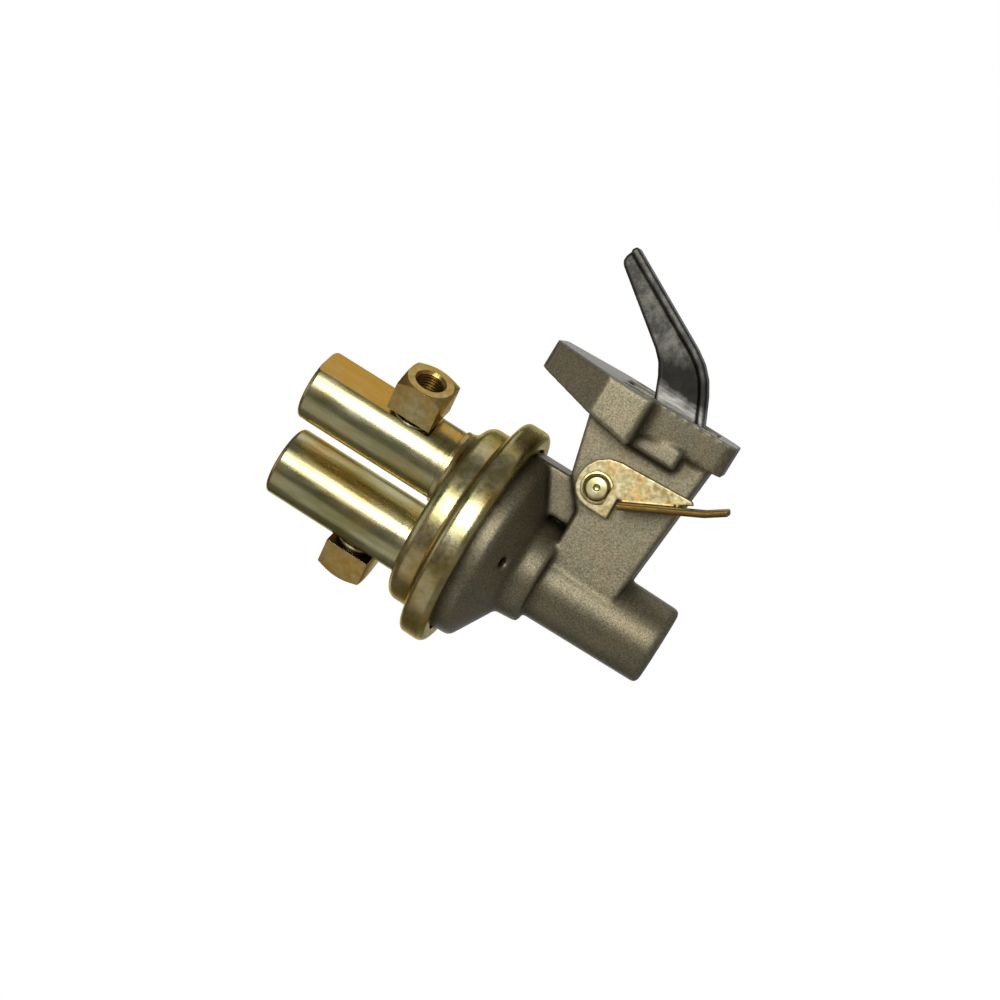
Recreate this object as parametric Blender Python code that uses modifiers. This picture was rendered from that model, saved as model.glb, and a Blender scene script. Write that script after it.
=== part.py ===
"""Engine driven diaphragm fuel transfer pump with a hand primer lever.

Lengths are in metres. Shapes are given from the pump's own upright axis, with z = 0 at the lower edge
of the crimped rim, x towards the mounting flange and the primer lever on the -y side. The empty
pump_axis carries every piece. The frame's origin is on the mounting face, level with that edge.
"""

import math

import bmesh
import bpy
from mathutils import Matrix, Vector

MM = 0.001
FIT = 0.3 * MM
SAGITTA = 0.2 * MM
BRAZE = 0.2 * MM

# The pump against its mounting face
REACH = 88.0 * MM

# Stamped cover and the stack that its rim clamps
SHEET = 1.6 * MM
RIM_RADIUS = 51.2 * MM
RIM_WIDTH = 9.4 * MM
RIM_CROWN = 2.6 * MM
RIM_FOOT = 3.0 * MM
RIM_FALL = 0.9 * MM
GROOVE_RISE = 0.8 * MM
GROOVE_RADIUS = 1.2 * MM
LIP_WIDTH = 7.0 * MM
CLAMP_THICKNESS = 3.6 * MM
DIAPHRAGM_THICKNESS = 1.0 * MM
VALVE_FLANGE = 2.0 * MM
GASKET = 0.8 * MM
DOME_RISE = 12.4 * MM
DOME_SHOULDER = 5.0 * MM

LIP_RADIUS = RIM_RADIUS - LIP_WIDTH
DOME_RADIUS = RIM_RADIUS - RIM_WIDTH

CLAMP_BOTTOM = SHEET + FIT
CLAMP_TOP = CLAMP_BOTTOM + CLAMP_THICKNESS
DIAPHRAGM_BOTTOM = CLAMP_TOP + FIT
DIAPHRAGM_TOP = DIAPHRAGM_BOTTOM + DIAPHRAGM_THICKNESS
VALVE_FLANGE_BOTTOM = DIAPHRAGM_TOP + FIT
VALVE_FLANGE_TOP = VALVE_FLANGE_BOTTOM + VALVE_FLANGE
GASKET_BOTTOM = VALVE_FLANGE_TOP + FIT
GASKET_TOP = GASKET_BOTTOM + GASKET
RIM_TOP = GASKET_TOP + FIT + SHEET
DOME_TOP = RIM_TOP + DOME_RISE
DOME_INSIDE = DOME_RADIUS - SHEET
CLAMP_RADIUS = RIM_RADIUS - SHEET - FIT

# Canisters and their necks, on a line turned from the flange's own direction
VALVE_LINE_ANGLE = math.radians(-30)
CANISTER_GAP = 12.5 * MM
CANISTER_MARGIN = 4.05 * MM
CANISTER_WALL = 1.2 * MM
CANISTER_TOP = 94.5 * MM
CANISTER_EDGE = 2.0 * MM
CANISTER_FLAT = 2.4 * MM
NECK_WALL = 0.8 * MM
NECK_HEIGHT = 4.2 * MM
NECK_EDGE = 0.5 * MM
NECK_FILLET = 3.0 * MM
FLARE_INSET = 0.1 * MM

CANISTER_RADIUS = (DOME_RADIUS - CANISTER_MARGIN - CANISTER_GAP / 2) / 2
CANISTER_OFFSET = CANISTER_RADIUS + CANISTER_GAP / 2
NECK_TOP = DOME_TOP + NECK_HEIGHT
NECK_BORE = CANISTER_RADIUS + BRAZE
FLAT_DISTANCE = CANISTER_RADIUS - CANISTER_FLAT

# Square fittings brazed to the flats
PORT_HEIGHT = 50.5 * MM
FITTING_SIZE = 20.5 * MM
FITTING_LENGTH = 15.4 * MM
SPIGOT_RADIUS = 9.2 * MM
SPIGOT_LENGTH = 1.7 * MM
STUB_RADIUS = 7.0 * MM
STUB_LENGTH = 3.4 * MM
WASHER_RADIUS = 9.9 * MM
WASHER_THICKNESS = 1.2 * MM
PORT_MOUTH = 6.9 * MM
PORT_RADIUS = 5.7 * MM
PORT_DEPTH = 14.0 * MM
PORT_BORE = 4.2 * MM
TURNED_END = 10.1 * MM

FLAT_BOTTOM = PORT_HEIGHT - WASHER_RADIUS - 2 * FIT
WASHER_START = CANISTER_OFFSET + FLAT_DISTANCE + FIT
SPIGOT_START = WASHER_START + WASHER_THICKNESS + FIT
BLOCK_START = SPIGOT_START + SPIGOT_LENGTH
BLOCK_END = BLOCK_START + FITTING_LENGTH

# Valve body and its two valves
CHAMBER_HEIGHT = 8.2 * MM
VALVE_DISC_THICKNESS = 4.0 * MM
VALVE_WALL = 3.0 * MM
PARTITION = 5.0 * MM
SEAT_RADIUS = 8.6 * MM
SEAT_THICKNESS = 2.2 * MM
SEAT_LEDGE = 1.2 * MM
FLOW_HOLE = 1.3 * MM
FLOW_CIRCLE = 4.9 * MM
FLOW_HOLES = 6
FLAP_RADIUS = 7.0 * MM
FLAP_THICKNESS = 1.0 * MM
VALVE_TRAVEL = 1.2 * MM
STEM_RADIUS = 1.0 * MM
STEM_HEAD = 3.0 * MM
STEM_HEAD_THICKNESS = 0.7 * MM
VALVE_SPRING_LENGTH = 2.4 * MM
VALVE_SPRING_WIRE = 0.35 * MM
VALVE_SPRING_RADIUS = 2.1 * MM
VALVE_SPRING_TURNS = 3

VALVE_DISC_BOTTOM = DIAPHRAGM_TOP + CHAMBER_HEIGHT
VALVE_DISC_TOP = VALVE_DISC_BOTTOM + VALVE_DISC_THICKNESS
VALVE_WALL_RADIUS = DOME_INSIDE - FIT

# Cast body: bowl, collar and spring barrel
BOWL_CLEARANCE = 1.4 * MM
BOWL_DEPTH = 7.4 * MM
CONE_BOTTOM = 18.3 * MM
COLLAR_RADIUS = 23.5 * MM
COLLAR_BOTTOM = 28.6 * MM
COLLAR_DRAFT = 0.9 * MM
BARREL_RADIUS = 18.5 * MM
BARREL_DRAFT = 0.9 * MM
BARREL_BOTTOM = 84.4 * MM
BOWL_WALL = 4.2 * MM
BOWL_FLOOR = 15.8 * MM
SEAL_RADIUS = 10.3 * MM
SEAL_HEIGHT = 6.0 * MM
RETAINER_THICKNESS = 1.2 * MM
ROD_RADIUS = 3.5 * MM
BARREL_BORE = 14.2 * MM
BARREL_ROOF = 31.0 * MM
BARREL_FLOOR = 3.6 * MM
VENT_RADIUS = 2.6 * MM
VENT_AT = 0.62

BOWL_RADIUS = LIP_RADIUS - BOWL_CLEARANCE
BOWL_BORE = BOWL_RADIUS - BOWL_WALL

# Arm housing, from the barrel to the flange. Setbacks are measured from the mounting face.
HOUSING_HALF = 16.5 * MM
HOUSING_SHELF = 27.0 * MM
HOUSING_SHELF_SETBACK = 56.0 * MM
HOUSING_ROOF_SETBACK = 44.0 * MM
HOUSING_SHELF_END = REACH - HOUSING_SHELF_SETBACK
HOUSING_ROOF_START = Vector((REACH - HOUSING_ROOF_SETBACK, -17.0 * MM))
HOUSING_ROOF_END = -8.6 * MM
HOUSING_BOTTOM = 59.6 * MM
HOUSING_SLOPE = 0.07
GUSSET_HALF = 11.0 * MM
GUSSET_FOOT = 7.5 * MM
GUSSET_START = COLLAR_RADIUS + 1.0 * MM
CAVITY_HALF = 12.0 * MM
CAVITY_WALL = 3.7 * MM

# Mounting flange, its height centred below the lip
FLANGE_MIDDLE = 26.5 * MM
PLATE_HEIGHT = 85.8 * MM
PLATE_TOP_THICKNESS = 12.7 * MM
PLATE_THICKNESS = 13.7 * MM
PLATE_TOP_HALF = 14.0 * MM
PLATE_WAIST_HALF = 22.5 * MM
PLATE_FOOT_HALF = 16.0 * MM
EAR_REACH = 35.0 * MM
EAR_HEIGHT = 19.8 * MM
EAR_THICKNESS = 21.2 * MM
EAR_MIDDLE = 22.0 * MM
EAR_FILLET = 5.0 * MM
BOLT_SPACING = 51.0 * MM
BOLT_HOLE = 5.0 * MM
PAD_HALF = 20.8 * MM
PAD_BOTTOM = 52.4 * MM

# Diaphragm stack on its rod
CONVOLUTION_DEPTH = 2.8 * MM
CONVOLUTION_WIDTH = 8.6 * MM
LOWER_PLATE_RADIUS = BOWL_BORE - CONVOLUTION_WIDTH
STEM_CLEARANCE = 4.0 * MM
UPPER_PLATE_RADIUS = CANISTER_OFFSET + STEM_HEAD + STEM_CLEARANCE
STACK_PLATE = 1.4 * MM
PLATE_LIP = 2.0 * MM
ROD_COLLAR_RADIUS = 6.5 * MM
ROD_COLLAR = 1.8 * MM
NUT_FLATS = 10.0 * MM
NUT_HEIGHT = 3.0 * MM
SPRING_SEAT_RADIUS = 12.4 * MM
SPRING_SEAT_THICKNESS = 2.2 * MM
SPRING_WIRE = 2.4 * MM
SPRING_TURNS = 6.5

# Rocker arm, link and pin
PIVOT_SETBACK = 34.0 * MM
PIVOT = Vector((REACH - PIVOT_SETBACK, -44.5 * MM))
PIN_RADIUS = 4.0 * MM
BUSH_WALL = 1.8 * MM
HUB_RADIUS = 10.0 * MM
HUB_HALF = 7.4 * MM
ARM_HALF = 4.6 * MM
ARM_RIM_HALF = 6.8 * MM
ARM_RIM = 3.4 * MM
LINK_PLATE = 2.4 * MM
LINK_HUB = 8.5 * MM
LINK_BAR = 3.0 * MM
LOBE_RADIUS = 3.0 * MM
FORK_HALF = 9.2 * MM
FORK_SLOT = 4.4 * MM
FORK_ABOVE_PIVOT = 0.8 * MM
SPACER_RADIUS = 7.0 * MM
RETURN_SPRING_SETBACK = 17.0 * MM
RETURN_SPRING_AT = REACH - RETURN_SPRING_SETBACK
RETURN_SPRING_RADIUS = 3.9 * MM
RETURN_SPRING_WIRE = 1.3 * MM
RETURN_SPRING_TURNS = 4.5
ARM_SADDLE = 32.0 * MM
ARM_SADDLE_SETBACK = 8.0 * MM
ARM_TIP = Vector((49.0 * MM, 9.4 * MM))
ARM_INNER_TIP = Vector((40.8 * MM, 12.6 * MM))
ARM_KNEE = Vector((20.9 * MM, -42.9 * MM))
ARM_INNER_KNEE = Vector((13.5 * MM, -23.0 * MM))
ARM_HEEL = Vector((-3.5 * MM, -54.4 * MM))
ARM_TIP_RADIUS = 1.2 * MM
ARM_INNER_TIP_RADIUS = 3.5 * MM
ARM_KNEE_RADIUS = 32.0 * MM
ARM_INNER_KNEE_RADIUS = 22.0 * MM
ARM_HEEL_RADIUS = 14.0 * MM
ARM_SADDLE_RADIUS = 10.0 * MM

# Hand primer
SHAFT_SETBACK = 42.6 * MM
SHAFT = Vector((REACH - SHAFT_SETBACK, -29.7 * MM))
SHAFT_RADIUS = 5.9 * MM
SHAFT_END_RADIUS = 5.4 * MM
SHAFT_FLAT = 4.1 * MM
CAM_FLAT = 4.4 * MM
SHAFT_BOSS = 7.4 * MM
SHAFT_BOSS_LENGTH = 2.6 * MM
LEVER_THICKNESS = 2.6 * MM
HEAD_RADIUS = 6.9 * MM
HEAD_THICKNESS = 0.6 * MM
SEAL_RING = 0.8 * MM
TAB_LENGTH = 42.0 * MM
TAB_TIP = 9.5 * MM
TAB_TURN = math.radians(3.5)
TAB_TIP_TURN = math.radians(8)
TAB_WIDTH = 15.0 * MM
PRIMER_SPRING_WIRE = 1.1 * MM
LEVER_FOLD = Vector((0.6 * MM, -13.7 * MM))
LEVER_FOLD_END = Vector((14.4 * MM, -37.2 * MM))
LEVER_BEAK = Vector((-9.2 * MM, -9.8 * MM))
LEVER_CORNER = Vector((15.7 * MM, -36.0 * MM))
LEVER_SHOULDER = 13.4 * MM
LEVER_SHOULDER_RADIUS = 13.0 * MM
LEVER_HUB = 9.4 * MM

LEVER_BACK = HOUSING_HALF + SHAFT_BOSS_LENGTH + FIT
LEVER_FRONT = LEVER_BACK + LEVER_THICKNESS


def clear_scene():
    """Removes what the start-up scene holds."""
    for obj in list(bpy.data.objects):
        bpy.data.objects.remove(obj)


def finish(name, colour, roughness, metallic):
    """A Principled material. The colour is linear red, green and blue."""
    made = bpy.data.materials.new(name)
    made.use_nodes = True
    shader = made.node_tree.nodes["Principled BSDF"]
    shader.inputs["Base Color"].default_value = (*colour, 1.0)
    shader.inputs["Roughness"].default_value = roughness
    shader.inputs["Metallic"].default_value = metallic
    return made


clear_scene()
PARTS = bpy.data.collections.new("fuel_transfer_pump")
CUTTERS = bpy.data.collections.new("cutters")
bpy.context.scene.collection.children.link(PARTS)
bpy.context.scene.collection.children.link(CUTTERS)

ZINC = ((0.42, 0.31, 0.10), 0.3, 1.0)
CASTING = ((0.16, 0.14, 0.10), 0.65, 0.6)
FORGED = ((0.08, 0.08, 0.07), 0.45, 0.9)
STEEL = ((0.45, 0.45, 0.44), 0.35, 1.0)
RUBBER = ((0.02, 0.02, 0.02), 0.8, 0.0)
FABRIC_RUBBER = ((0.05, 0.03, 0.02), 0.75, 0.0)
BRONZE = ((0.40, 0.22, 0.08), 0.4, 1.0)


def carrier(name, parent=None, location=(0, 0, 0), rotation=(0, 0, 0)):
    """An empty that carries pieces."""
    empty = bpy.data.objects.new(name, None)
    PARTS.objects.link(empty)
    empty.parent = parent
    empty.location = location
    empty.rotation_euler = rotation
    return empty


PUMP = carrier("pump_axis", location=(-REACH, 0, 0))
VALVE_LINE = carrier("valve_line", PUMP, rotation=(0, 0, VALVE_LINE_ANGLE))
ROCKER_AXIS = carrier("rocker_axis", PUMP, (PIVOT.x, 0, PIVOT.y))
PRIMER_AXIS = carrier("primer_axis", PUMP, (SHAFT.x, 0, SHAFT.y))


def piece(name, mesh, parent=PUMP, location=(0, 0, 0), look=None):
    """A named object of the pump. Without a look it is a cutter, or stock that is joined to another."""
    obj = bpy.data.objects.new(name, mesh)
    obj.parent = parent
    obj.location = location
    if look is None:
        CUTTERS.objects.link(obj)
        obj.hide_render = True
        obj.display_type = "WIRE"
    else:
        PARTS.objects.link(obj)
        mesh.materials.append(finish(name, *look))
    return obj


def arc_steps(radius, turn):
    """How many straight steps keep an arc within its allowed sagitta."""
    step = 2 * math.acos(max(1 - SAGITTA / radius, 0.5))
    return max(1, round(abs(turn) / step))


def rounded(corners, closed=True):
    """The outline through corners of (x, y, radius), each turned by an arc.

    Two arcs that would meet along a side share it.
    """
    count = len(corners)
    places = [Vector(corner[:2]) for corner in corners]
    reaches = []
    for i, (place, corner) in enumerate(zip(places, corners)):
        before = places[i - 1] - place
        after = places[(i + 1) % count] - place
        half = before.angle(after, math.pi) / 2
        reaches.append(corner[2] / math.tan(half) if corner[2] else 0.0)
    shares = [1.0] * count
    for i in range(count if closed else count - 1):
        j = (i + 1) % count
        side = (places[j] - places[i]).length
        both = reaches[i] + reaches[j]
        if both > 0.98 * side:
            share = 0.98 * side / both
            shares[i] = min(shares[i], share)
            shares[j] = min(shares[j], share)
    points = []
    for i, place in enumerate(places):
        reach = reaches[i] * shares[i]
        if reach <= 0:
            points.append(place)
            continue
        before = (places[i - 1] - place).normalized()
        after = (places[(i + 1) % count] - place).normalized()
        half = before.angle(after) / 2
        middle = place + (before + after).normalized() * reach / math.cos(half)
        start = place + before * reach - middle
        end = place + after * reach - middle
        turn = math.atan2(start.x * end.y - start.y * end.x, start.dot(end))
        steps = arc_steps(start.length, turn)
        for k in range(steps + 1):
            angle = turn * k / steps
            swung = Vector(
                (
                    start.x * math.cos(angle) - start.y * math.sin(angle),
                    start.x * math.sin(angle) + start.y * math.cos(angle),
                )
            )
            points.append(middle + swung)
    return points


def turned(name, profile, closed=False, steps=40, **where):
    """A turned shape about Z: (radius, height, fillet) corners, down the outer side first."""
    points = rounded(profile, closed)
    count = len(points)
    edges = [(i, (i + 1) % count) for i in range(count if closed else count - 1)]
    mesh = bpy.data.meshes.new(name)
    mesh.from_pydata([(point.x, 0, point.y) for point in points], edges, [])
    obj = piece(name, mesh, **where)
    screw = obj.modifiers.new("Turn", "SCREW")
    screw.axis = "Z"
    screw.steps = screw.render_steps = steps
    screw.use_merge_vertices = True
    screw.merge_threshold = 0.001 * MM
    return obj


FACING = {
    "Z": Matrix.Identity(4),
    "Y": Matrix.Rotation(math.pi / 2, 4, "X"),
    "X": Matrix.Rotation(math.pi / 2, 4, "Z") @ Matrix.Rotation(math.pi / 2, 4, "X"),
}


def plate(name, outline, thickness, facing="Y", **where):
    """A flat plate about its middle plane. Facing Y, the outline is in X and Z; facing X, in Y and Z."""
    points = [Vector(point) for point in outline]
    area = sum(points[i - 1].cross(point) for i, point in enumerate(points))
    if area < 0:
        points.reverse()
    count = len(points)
    levels = (-thickness / 2, thickness / 2)
    verts = [(point.x, point.y, level) for level in levels for point in points]
    faces = [list(range(count))[::-1], list(range(count, 2 * count))]
    faces += [(i, (i + 1) % count, (i + 1) % count + count, i + count) for i in range(count)]
    mesh = bpy.data.meshes.new(name)
    mesh.from_pydata(verts, [], faces)
    mesh.transform(FACING[facing])
    return piece(name, mesh, **where)


def bar(name, radius, start, end, facing="Z", steps=20, **where):
    """A round bar along the facing axis, from start to end on it."""
    shape = bmesh.new()
    bmesh.ops.create_cone(
        shape, cap_ends=True, segments=steps, radius1=radius, radius2=radius, depth=end - start
    )
    bmesh.ops.translate(shape, verts=shape.verts, vec=(0, 0, (start + end) / 2))
    bmesh.ops.transform(shape, matrix=FACING[facing].to_3x3().to_4x4(), verts=shape.verts)
    if facing == "Y":
        bmesh.ops.rotate(shape, verts=shape.verts, matrix=Matrix.Rotation(math.pi, 3, "X"))
    mesh = bpy.data.meshes.new(name)
    shape.to_mesh(mesh)
    shape.free()
    return piece(name, mesh, **where)


def block(name, low, high, bevel=0.0, **where):
    """A box between two corners, its edges rounded by the bevel."""
    shape = bmesh.new()
    bmesh.ops.create_cube(shape, size=1.0)
    low, high = Vector(low), Vector(high)
    bmesh.ops.scale(shape, verts=shape.verts, vec=high - low)
    bmesh.ops.translate(shape, verts=shape.verts, vec=(low + high) / 2)
    mesh = bpy.data.meshes.new(name)
    shape.to_mesh(mesh)
    shape.free()
    obj = piece(name, mesh, **where)
    if bevel:
        soften(obj, bevel)
    return obj


def soften(obj, width, segments=2):
    """Rounds the sharp edges of a stock shape."""
    edge = obj.modifiers.new("Edge", "BEVEL")
    edge.width = width
    edge.segments = segments
    edge.limit_method = "ANGLE"
    edge.angle_limit = math.radians(50)
    edge.use_clamp_overlap = False


def combine(obj, operation, others):
    for other in others:
        step = obj.modifiers.new(other.name, "BOOLEAN")
        step.operation = operation
        step.solver = "EXACT"
        step.object = other


def cut(obj, *others):
    combine(obj, "DIFFERENCE", others)


def join(obj, *others):
    combine(obj, "UNION", others)


def keep_inside(obj, *others):
    combine(obj, "INTERSECT", others)


def coil(name, radius, wire, low, high, turns, points_per_turn=12, **where):
    """A compression spring between two heights. Its end turns lie close, the others share the rest."""
    low, high = low + wire / 2, high - wire / 2
    close = wire * 1.12
    rest = (high - low - 2 * close) / (turns - 2)
    count = round(turns * points_per_turn)
    curve = bpy.data.curves.new(name, "CURVE")
    curve.dimensions = "3D"
    curve.bevel_depth = wire / 2
    curve.bevel_resolution = 1
    curve.use_fill_caps = True
    spline = curve.splines.new("POLY")
    spline.points.add(count)
    for i, point in enumerate(spline.points):
        turn = turns * i / count
        height = low + close * min(turn, 1.0)
        height += rest * min(max(turn - 1.0, 0.0), turns - 2)
        height += close * max(turn - turns + 1.0, 0.0)
        angle = 2 * math.pi * turn
        point.co = (radius * math.cos(angle), radius * math.sin(angle), height, 1)
    return piece(name, curve, **where)


def hull_outline(first, first_radius, second, second_radius, steps=8):
    """The outline round two circles: an arc on each, joined by straight tangents."""
    along = second - first
    heading = math.atan2(along.y, along.x)
    lean = math.acos((first_radius - second_radius) / along.length)
    points = []
    for middle, radius, start, sweep in (
        (first, first_radius, heading + lean, 2 * math.pi - 2 * lean),
        (second, second_radius, heading - lean, 2 * lean),
    ):
        for k in range(steps + 1):
            angle = start + sweep * k / steps
            points.append(middle + radius * Vector((math.cos(angle), math.sin(angle))))
    return points


def flatted_circle(radius, flat, steps=20):
    """A circle about the origin with its lower part cut straight across."""
    start = math.asin(-flat / radius)
    sweep = math.pi - 2 * start
    return [
        Vector((radius * math.cos(start + sweep * k / steps), radius * math.sin(start + sweep * k / steps)))
        for k in range(steps + 1)
    ]


def build_cover():
    """The stamped cover: dome, two drawn necks and the rim rolled under the casting's flange."""
    groove = RIM_TOP + GROOVE_RISE
    cover = turned(
        "fuel_cover",
        [
            (0, DOME_TOP, 0),
            (DOME_RADIUS, DOME_TOP, DOME_SHOULDER),
            (DOME_RADIUS, groove, GROOVE_RADIUS),
            (RIM_RADIUS, RIM_TOP - RIM_FALL, RIM_CROWN),
            (RIM_RADIUS, 0, RIM_FOOT),
            (LIP_RADIUS, 0, 0),
            (LIP_RADIUS, SHEET, 0),
            (RIM_RADIUS - SHEET, SHEET, 0),
            (RIM_RADIUS - SHEET, RIM_TOP - SHEET, 0),
            (0, RIM_TOP - SHEET, 0),
        ],
        look=ZINC,
    )
    hollow = turned(
        "dome_hollow",
        [
            (0, DOME_TOP - SHEET, 0),
            (DOME_INSIDE, DOME_TOP - SHEET, DOME_SHOULDER - SHEET),
            (DOME_INSIDE, RIM_TOP - 2 * SHEET, 0),
            (0, RIM_TOP - 2 * SHEET, 0),
        ],
    )
    bores = []
    flare_foot = DOME_RADIUS - CANISTER_OFFSET - FLARE_INSET
    foot_height = DOME_TOP - DOME_SHOULDER
    for side in (-1, 1):
        where = {"parent": VALVE_LINE, "location": (side * CANISTER_OFFSET, 0, 0), "steps": 32}
        neck = turned(
            f"neck_stock_{side}",
            [
                (0, NECK_TOP, 0),
                (NECK_BORE + NECK_WALL, NECK_TOP, NECK_EDGE),
                (NECK_BORE + NECK_WALL, DOME_TOP + NECK_HEIGHT / 2, NECK_FILLET),
                (flare_foot, foot_height, 0),
                (0, foot_height, 0),
            ],
            **where,
        )
        bore = turned(
            f"neck_bore_{side}",
            [
                (0, NECK_TOP + SHEET, 0),
                (NECK_BORE, NECK_TOP + SHEET, 0),
                (NECK_BORE, DOME_TOP, 0),
                (NECK_BORE - SHEET, DOME_TOP, 0),
                (NECK_BORE - SHEET, DOME_TOP - 2 * SHEET, 0),
                (0, DOME_TOP - 2 * SHEET, 0),
            ],
            **where,
        )
        join(cover, neck)
        bores.append(bore)
    cut(cover, hollow, *bores)
    return cover


def canister_cut(name, side, distance, reach):
    """The block that leaves a flat down the outward side of a canister."""
    low_x, high_x = sorted((side * distance, side * (distance + reach)))
    return block(
        name,
        (low_x, -CANISTER_RADIUS, FLAT_BOTTOM),
        (high_x, CANISTER_RADIUS, CANISTER_TOP + CANISTER_RADIUS),
        bevel=1.0 * MM,
        parent=VALVE_LINE,
        location=(side * CANISTER_OFFSET, 0, 0),
    )


def build_canister(name, side):
    """A deep drawn canister, open at its foot, with a flat for the fitting."""
    where = {"parent": VALVE_LINE, "location": (side * CANISTER_OFFSET, 0, 0), "steps": 28}
    foot = DOME_TOP + FIT
    can = turned(
        name,
        [
            (0, CANISTER_TOP, 0),
            (CANISTER_RADIUS, CANISTER_TOP, CANISTER_EDGE),
            (CANISTER_RADIUS, foot, 0),
            (0, foot, 0),
        ],
        look=ZINC,
        **where,
    )
    inside = turned(
        f"{name}_inside",
        [
            (0, CANISTER_TOP - CANISTER_WALL, 0),
            (CANISTER_RADIUS - CANISTER_WALL, CANISTER_TOP - CANISTER_WALL, CANISTER_EDGE - CANISTER_WALL),
            (CANISTER_RADIUS - CANISTER_WALL, foot - CANISTER_WALL, 0),
            (0, foot - CANISTER_WALL, 0),
        ],
        **where,
    )
    cut(can, canister_cut(f"{name}_flat", side, FLAT_DISTANCE, CANISTER_RADIUS))
    cut(inside, canister_cut(f"{name}_flat_inside", side, FLAT_DISTANCE - CANISTER_WALL, CANISTER_RADIUS))
    cut(can, inside)
    low_x, high_x = sorted((0.0, side * 2 * CANISTER_RADIUS))
    port = bar(
        f"{name}_port_hole",
        STUB_RADIUS + FIT,
        low_x,
        high_x,
        facing="X",
        parent=VALVE_LINE,
        location=(side * CANISTER_OFFSET, 0, PORT_HEIGHT),
    )
    cut(can, port)
    return can


def build_fitting(name, side):
    """A square fitting: turned end, threaded mouth, round spigot and the stub that enters the canister."""
    axis = carrier(
        f"{name}_axis",
        VALVE_LINE,
        (0, 0, PORT_HEIGHT),
        (0, side * math.pi / 2, 0),
    )
    half = FITTING_SIZE / 2
    fitting = block(
        name, (-half, -half, BLOCK_START), (half, half, BLOCK_END), bevel=0.5 * MM, parent=axis, look=ZINC
    )
    corner = half * math.sqrt(2) + MM
    envelope = turned(
        f"{name}_turned_end",
        [
            (0, BLOCK_END + FIT, 0),
            (TURNED_END, BLOCK_END + FIT, 0),
            (corner, BLOCK_END - (corner - TURNED_END) * math.tan(math.radians(30)), 0),
            (corner, BLOCK_START - MM, 0),
            (0, BLOCK_START - MM, 0),
        ],
        parent=axis,
    )
    keep_inside(fitting, envelope)
    spigot = turned(
        f"{name}_spigot",
        [
            (0, BLOCK_START + MM, 0),
            (SPIGOT_RADIUS, BLOCK_START + MM, 0),
            (SPIGOT_RADIUS, SPIGOT_START, 0.3 * MM),
            (STUB_RADIUS, SPIGOT_START, 0),
            (STUB_RADIUS, SPIGOT_START - STUB_LENGTH, 0.3 * MM),
            (0, SPIGOT_START - STUB_LENGTH, 0),
        ],
        steps=28,
        parent=axis,
    )
    join(fitting, spigot)
    mouth_depth = PORT_MOUTH - PORT_RADIUS
    bore = turned(
        f"{name}_bore",
        [
            (0, BLOCK_END + MM, 0),
            (PORT_MOUTH + MM, BLOCK_END + MM, 0),
            (PORT_RADIUS, BLOCK_END - mouth_depth, 0),
            (PORT_RADIUS, BLOCK_END - PORT_DEPTH, 0),
            (PORT_BORE, BLOCK_END - PORT_DEPTH - (PORT_RADIUS - PORT_BORE) / 2, 0),
            (PORT_BORE, SPIGOT_START - STUB_LENGTH - MM, 0),
            (0, SPIGOT_START - STUB_LENGTH - MM, 0),
        ],
        steps=28,
        parent=axis,
    )
    cut(fitting, bore)
    turned(
        f"{name}_washer",
        [
            (WASHER_RADIUS, WASHER_START + WASHER_THICKNESS, 0),
            (WASHER_RADIUS, WASHER_START, 0),
            (STUB_RADIUS + FIT, WASHER_START, 0),
            (STUB_RADIUS + FIT, WASHER_START + WASHER_THICKNESS, 0),
        ],
        closed=True,
        steps=24,
        parent=axis,
        look=ZINC,
    )
    return fitting


def build_valve_body():
    """The valve body: clamped flange, raised disc with two valve bores, and the wall between the ports."""
    inner = VALVE_WALL_RADIUS - VALVE_WALL
    body = turned(
        "valve_body",
        [
            (0, VALVE_DISC_TOP, 0),
            (VALVE_WALL_RADIUS, VALVE_DISC_TOP, MM),
            (VALVE_WALL_RADIUS, VALVE_FLANGE_TOP, 0),
            (CLAMP_RADIUS, VALVE_FLANGE_TOP, 0),
            (CLAMP_RADIUS, VALVE_FLANGE_BOTTOM, 0),
            (inner, VALVE_FLANGE_BOTTOM, 0),
            (inner, VALVE_DISC_BOTTOM, MM),
            (0, VALVE_DISC_BOTTOM, 0),
        ],
        look=STEEL,
    )
    wall_reach = DOME_INSIDE - DOME_SHOULDER
    partition = block(
        "partition_stock",
        (-PARTITION / 2, -wall_reach, VALVE_DISC_TOP - MM),
        (PARTITION / 2, wall_reach, DOME_TOP - SHEET - FIT),
        parent=VALVE_LINE,
    )
    join(body, partition)
    for side in (-1, 1):
        seat_edge = VALVE_DISC_TOP if side > 0 else VALVE_DISC_BOTTOM
        ledge = seat_edge - side * (VALVE_DISC_THICKNESS - SEAT_LEDGE)
        low, high = sorted((seat_edge + side * MM, ledge))
        where = {"parent": VALVE_LINE, "location": (side * CANISTER_OFFSET, 0, 0), "steps": 24}
        seat_bore = bar(f"seat_bore_{side}", SEAT_RADIUS + BRAZE, low, high, **where)
        flow_bore = bar(
            f"flow_bore_{side}", FLAP_RADIUS + FIT, VALVE_DISC_BOTTOM - MM, VALVE_DISC_TOP + MM, **where
        )
        cut(body, seat_bore, flow_bore)
    turned(
        "cover_gasket",
        [
            (CLAMP_RADIUS, GASKET_TOP, 0),
            (CLAMP_RADIUS, GASKET_BOTTOM, 0),
            (DOME_INSIDE + FIT, GASKET_BOTTOM, 0),
            (DOME_INSIDE + FIT, GASKET_TOP, 0),
        ],
        closed=True,
        steps=40,
        look=FABRIC_RUBBER,
    )
    return body


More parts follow.
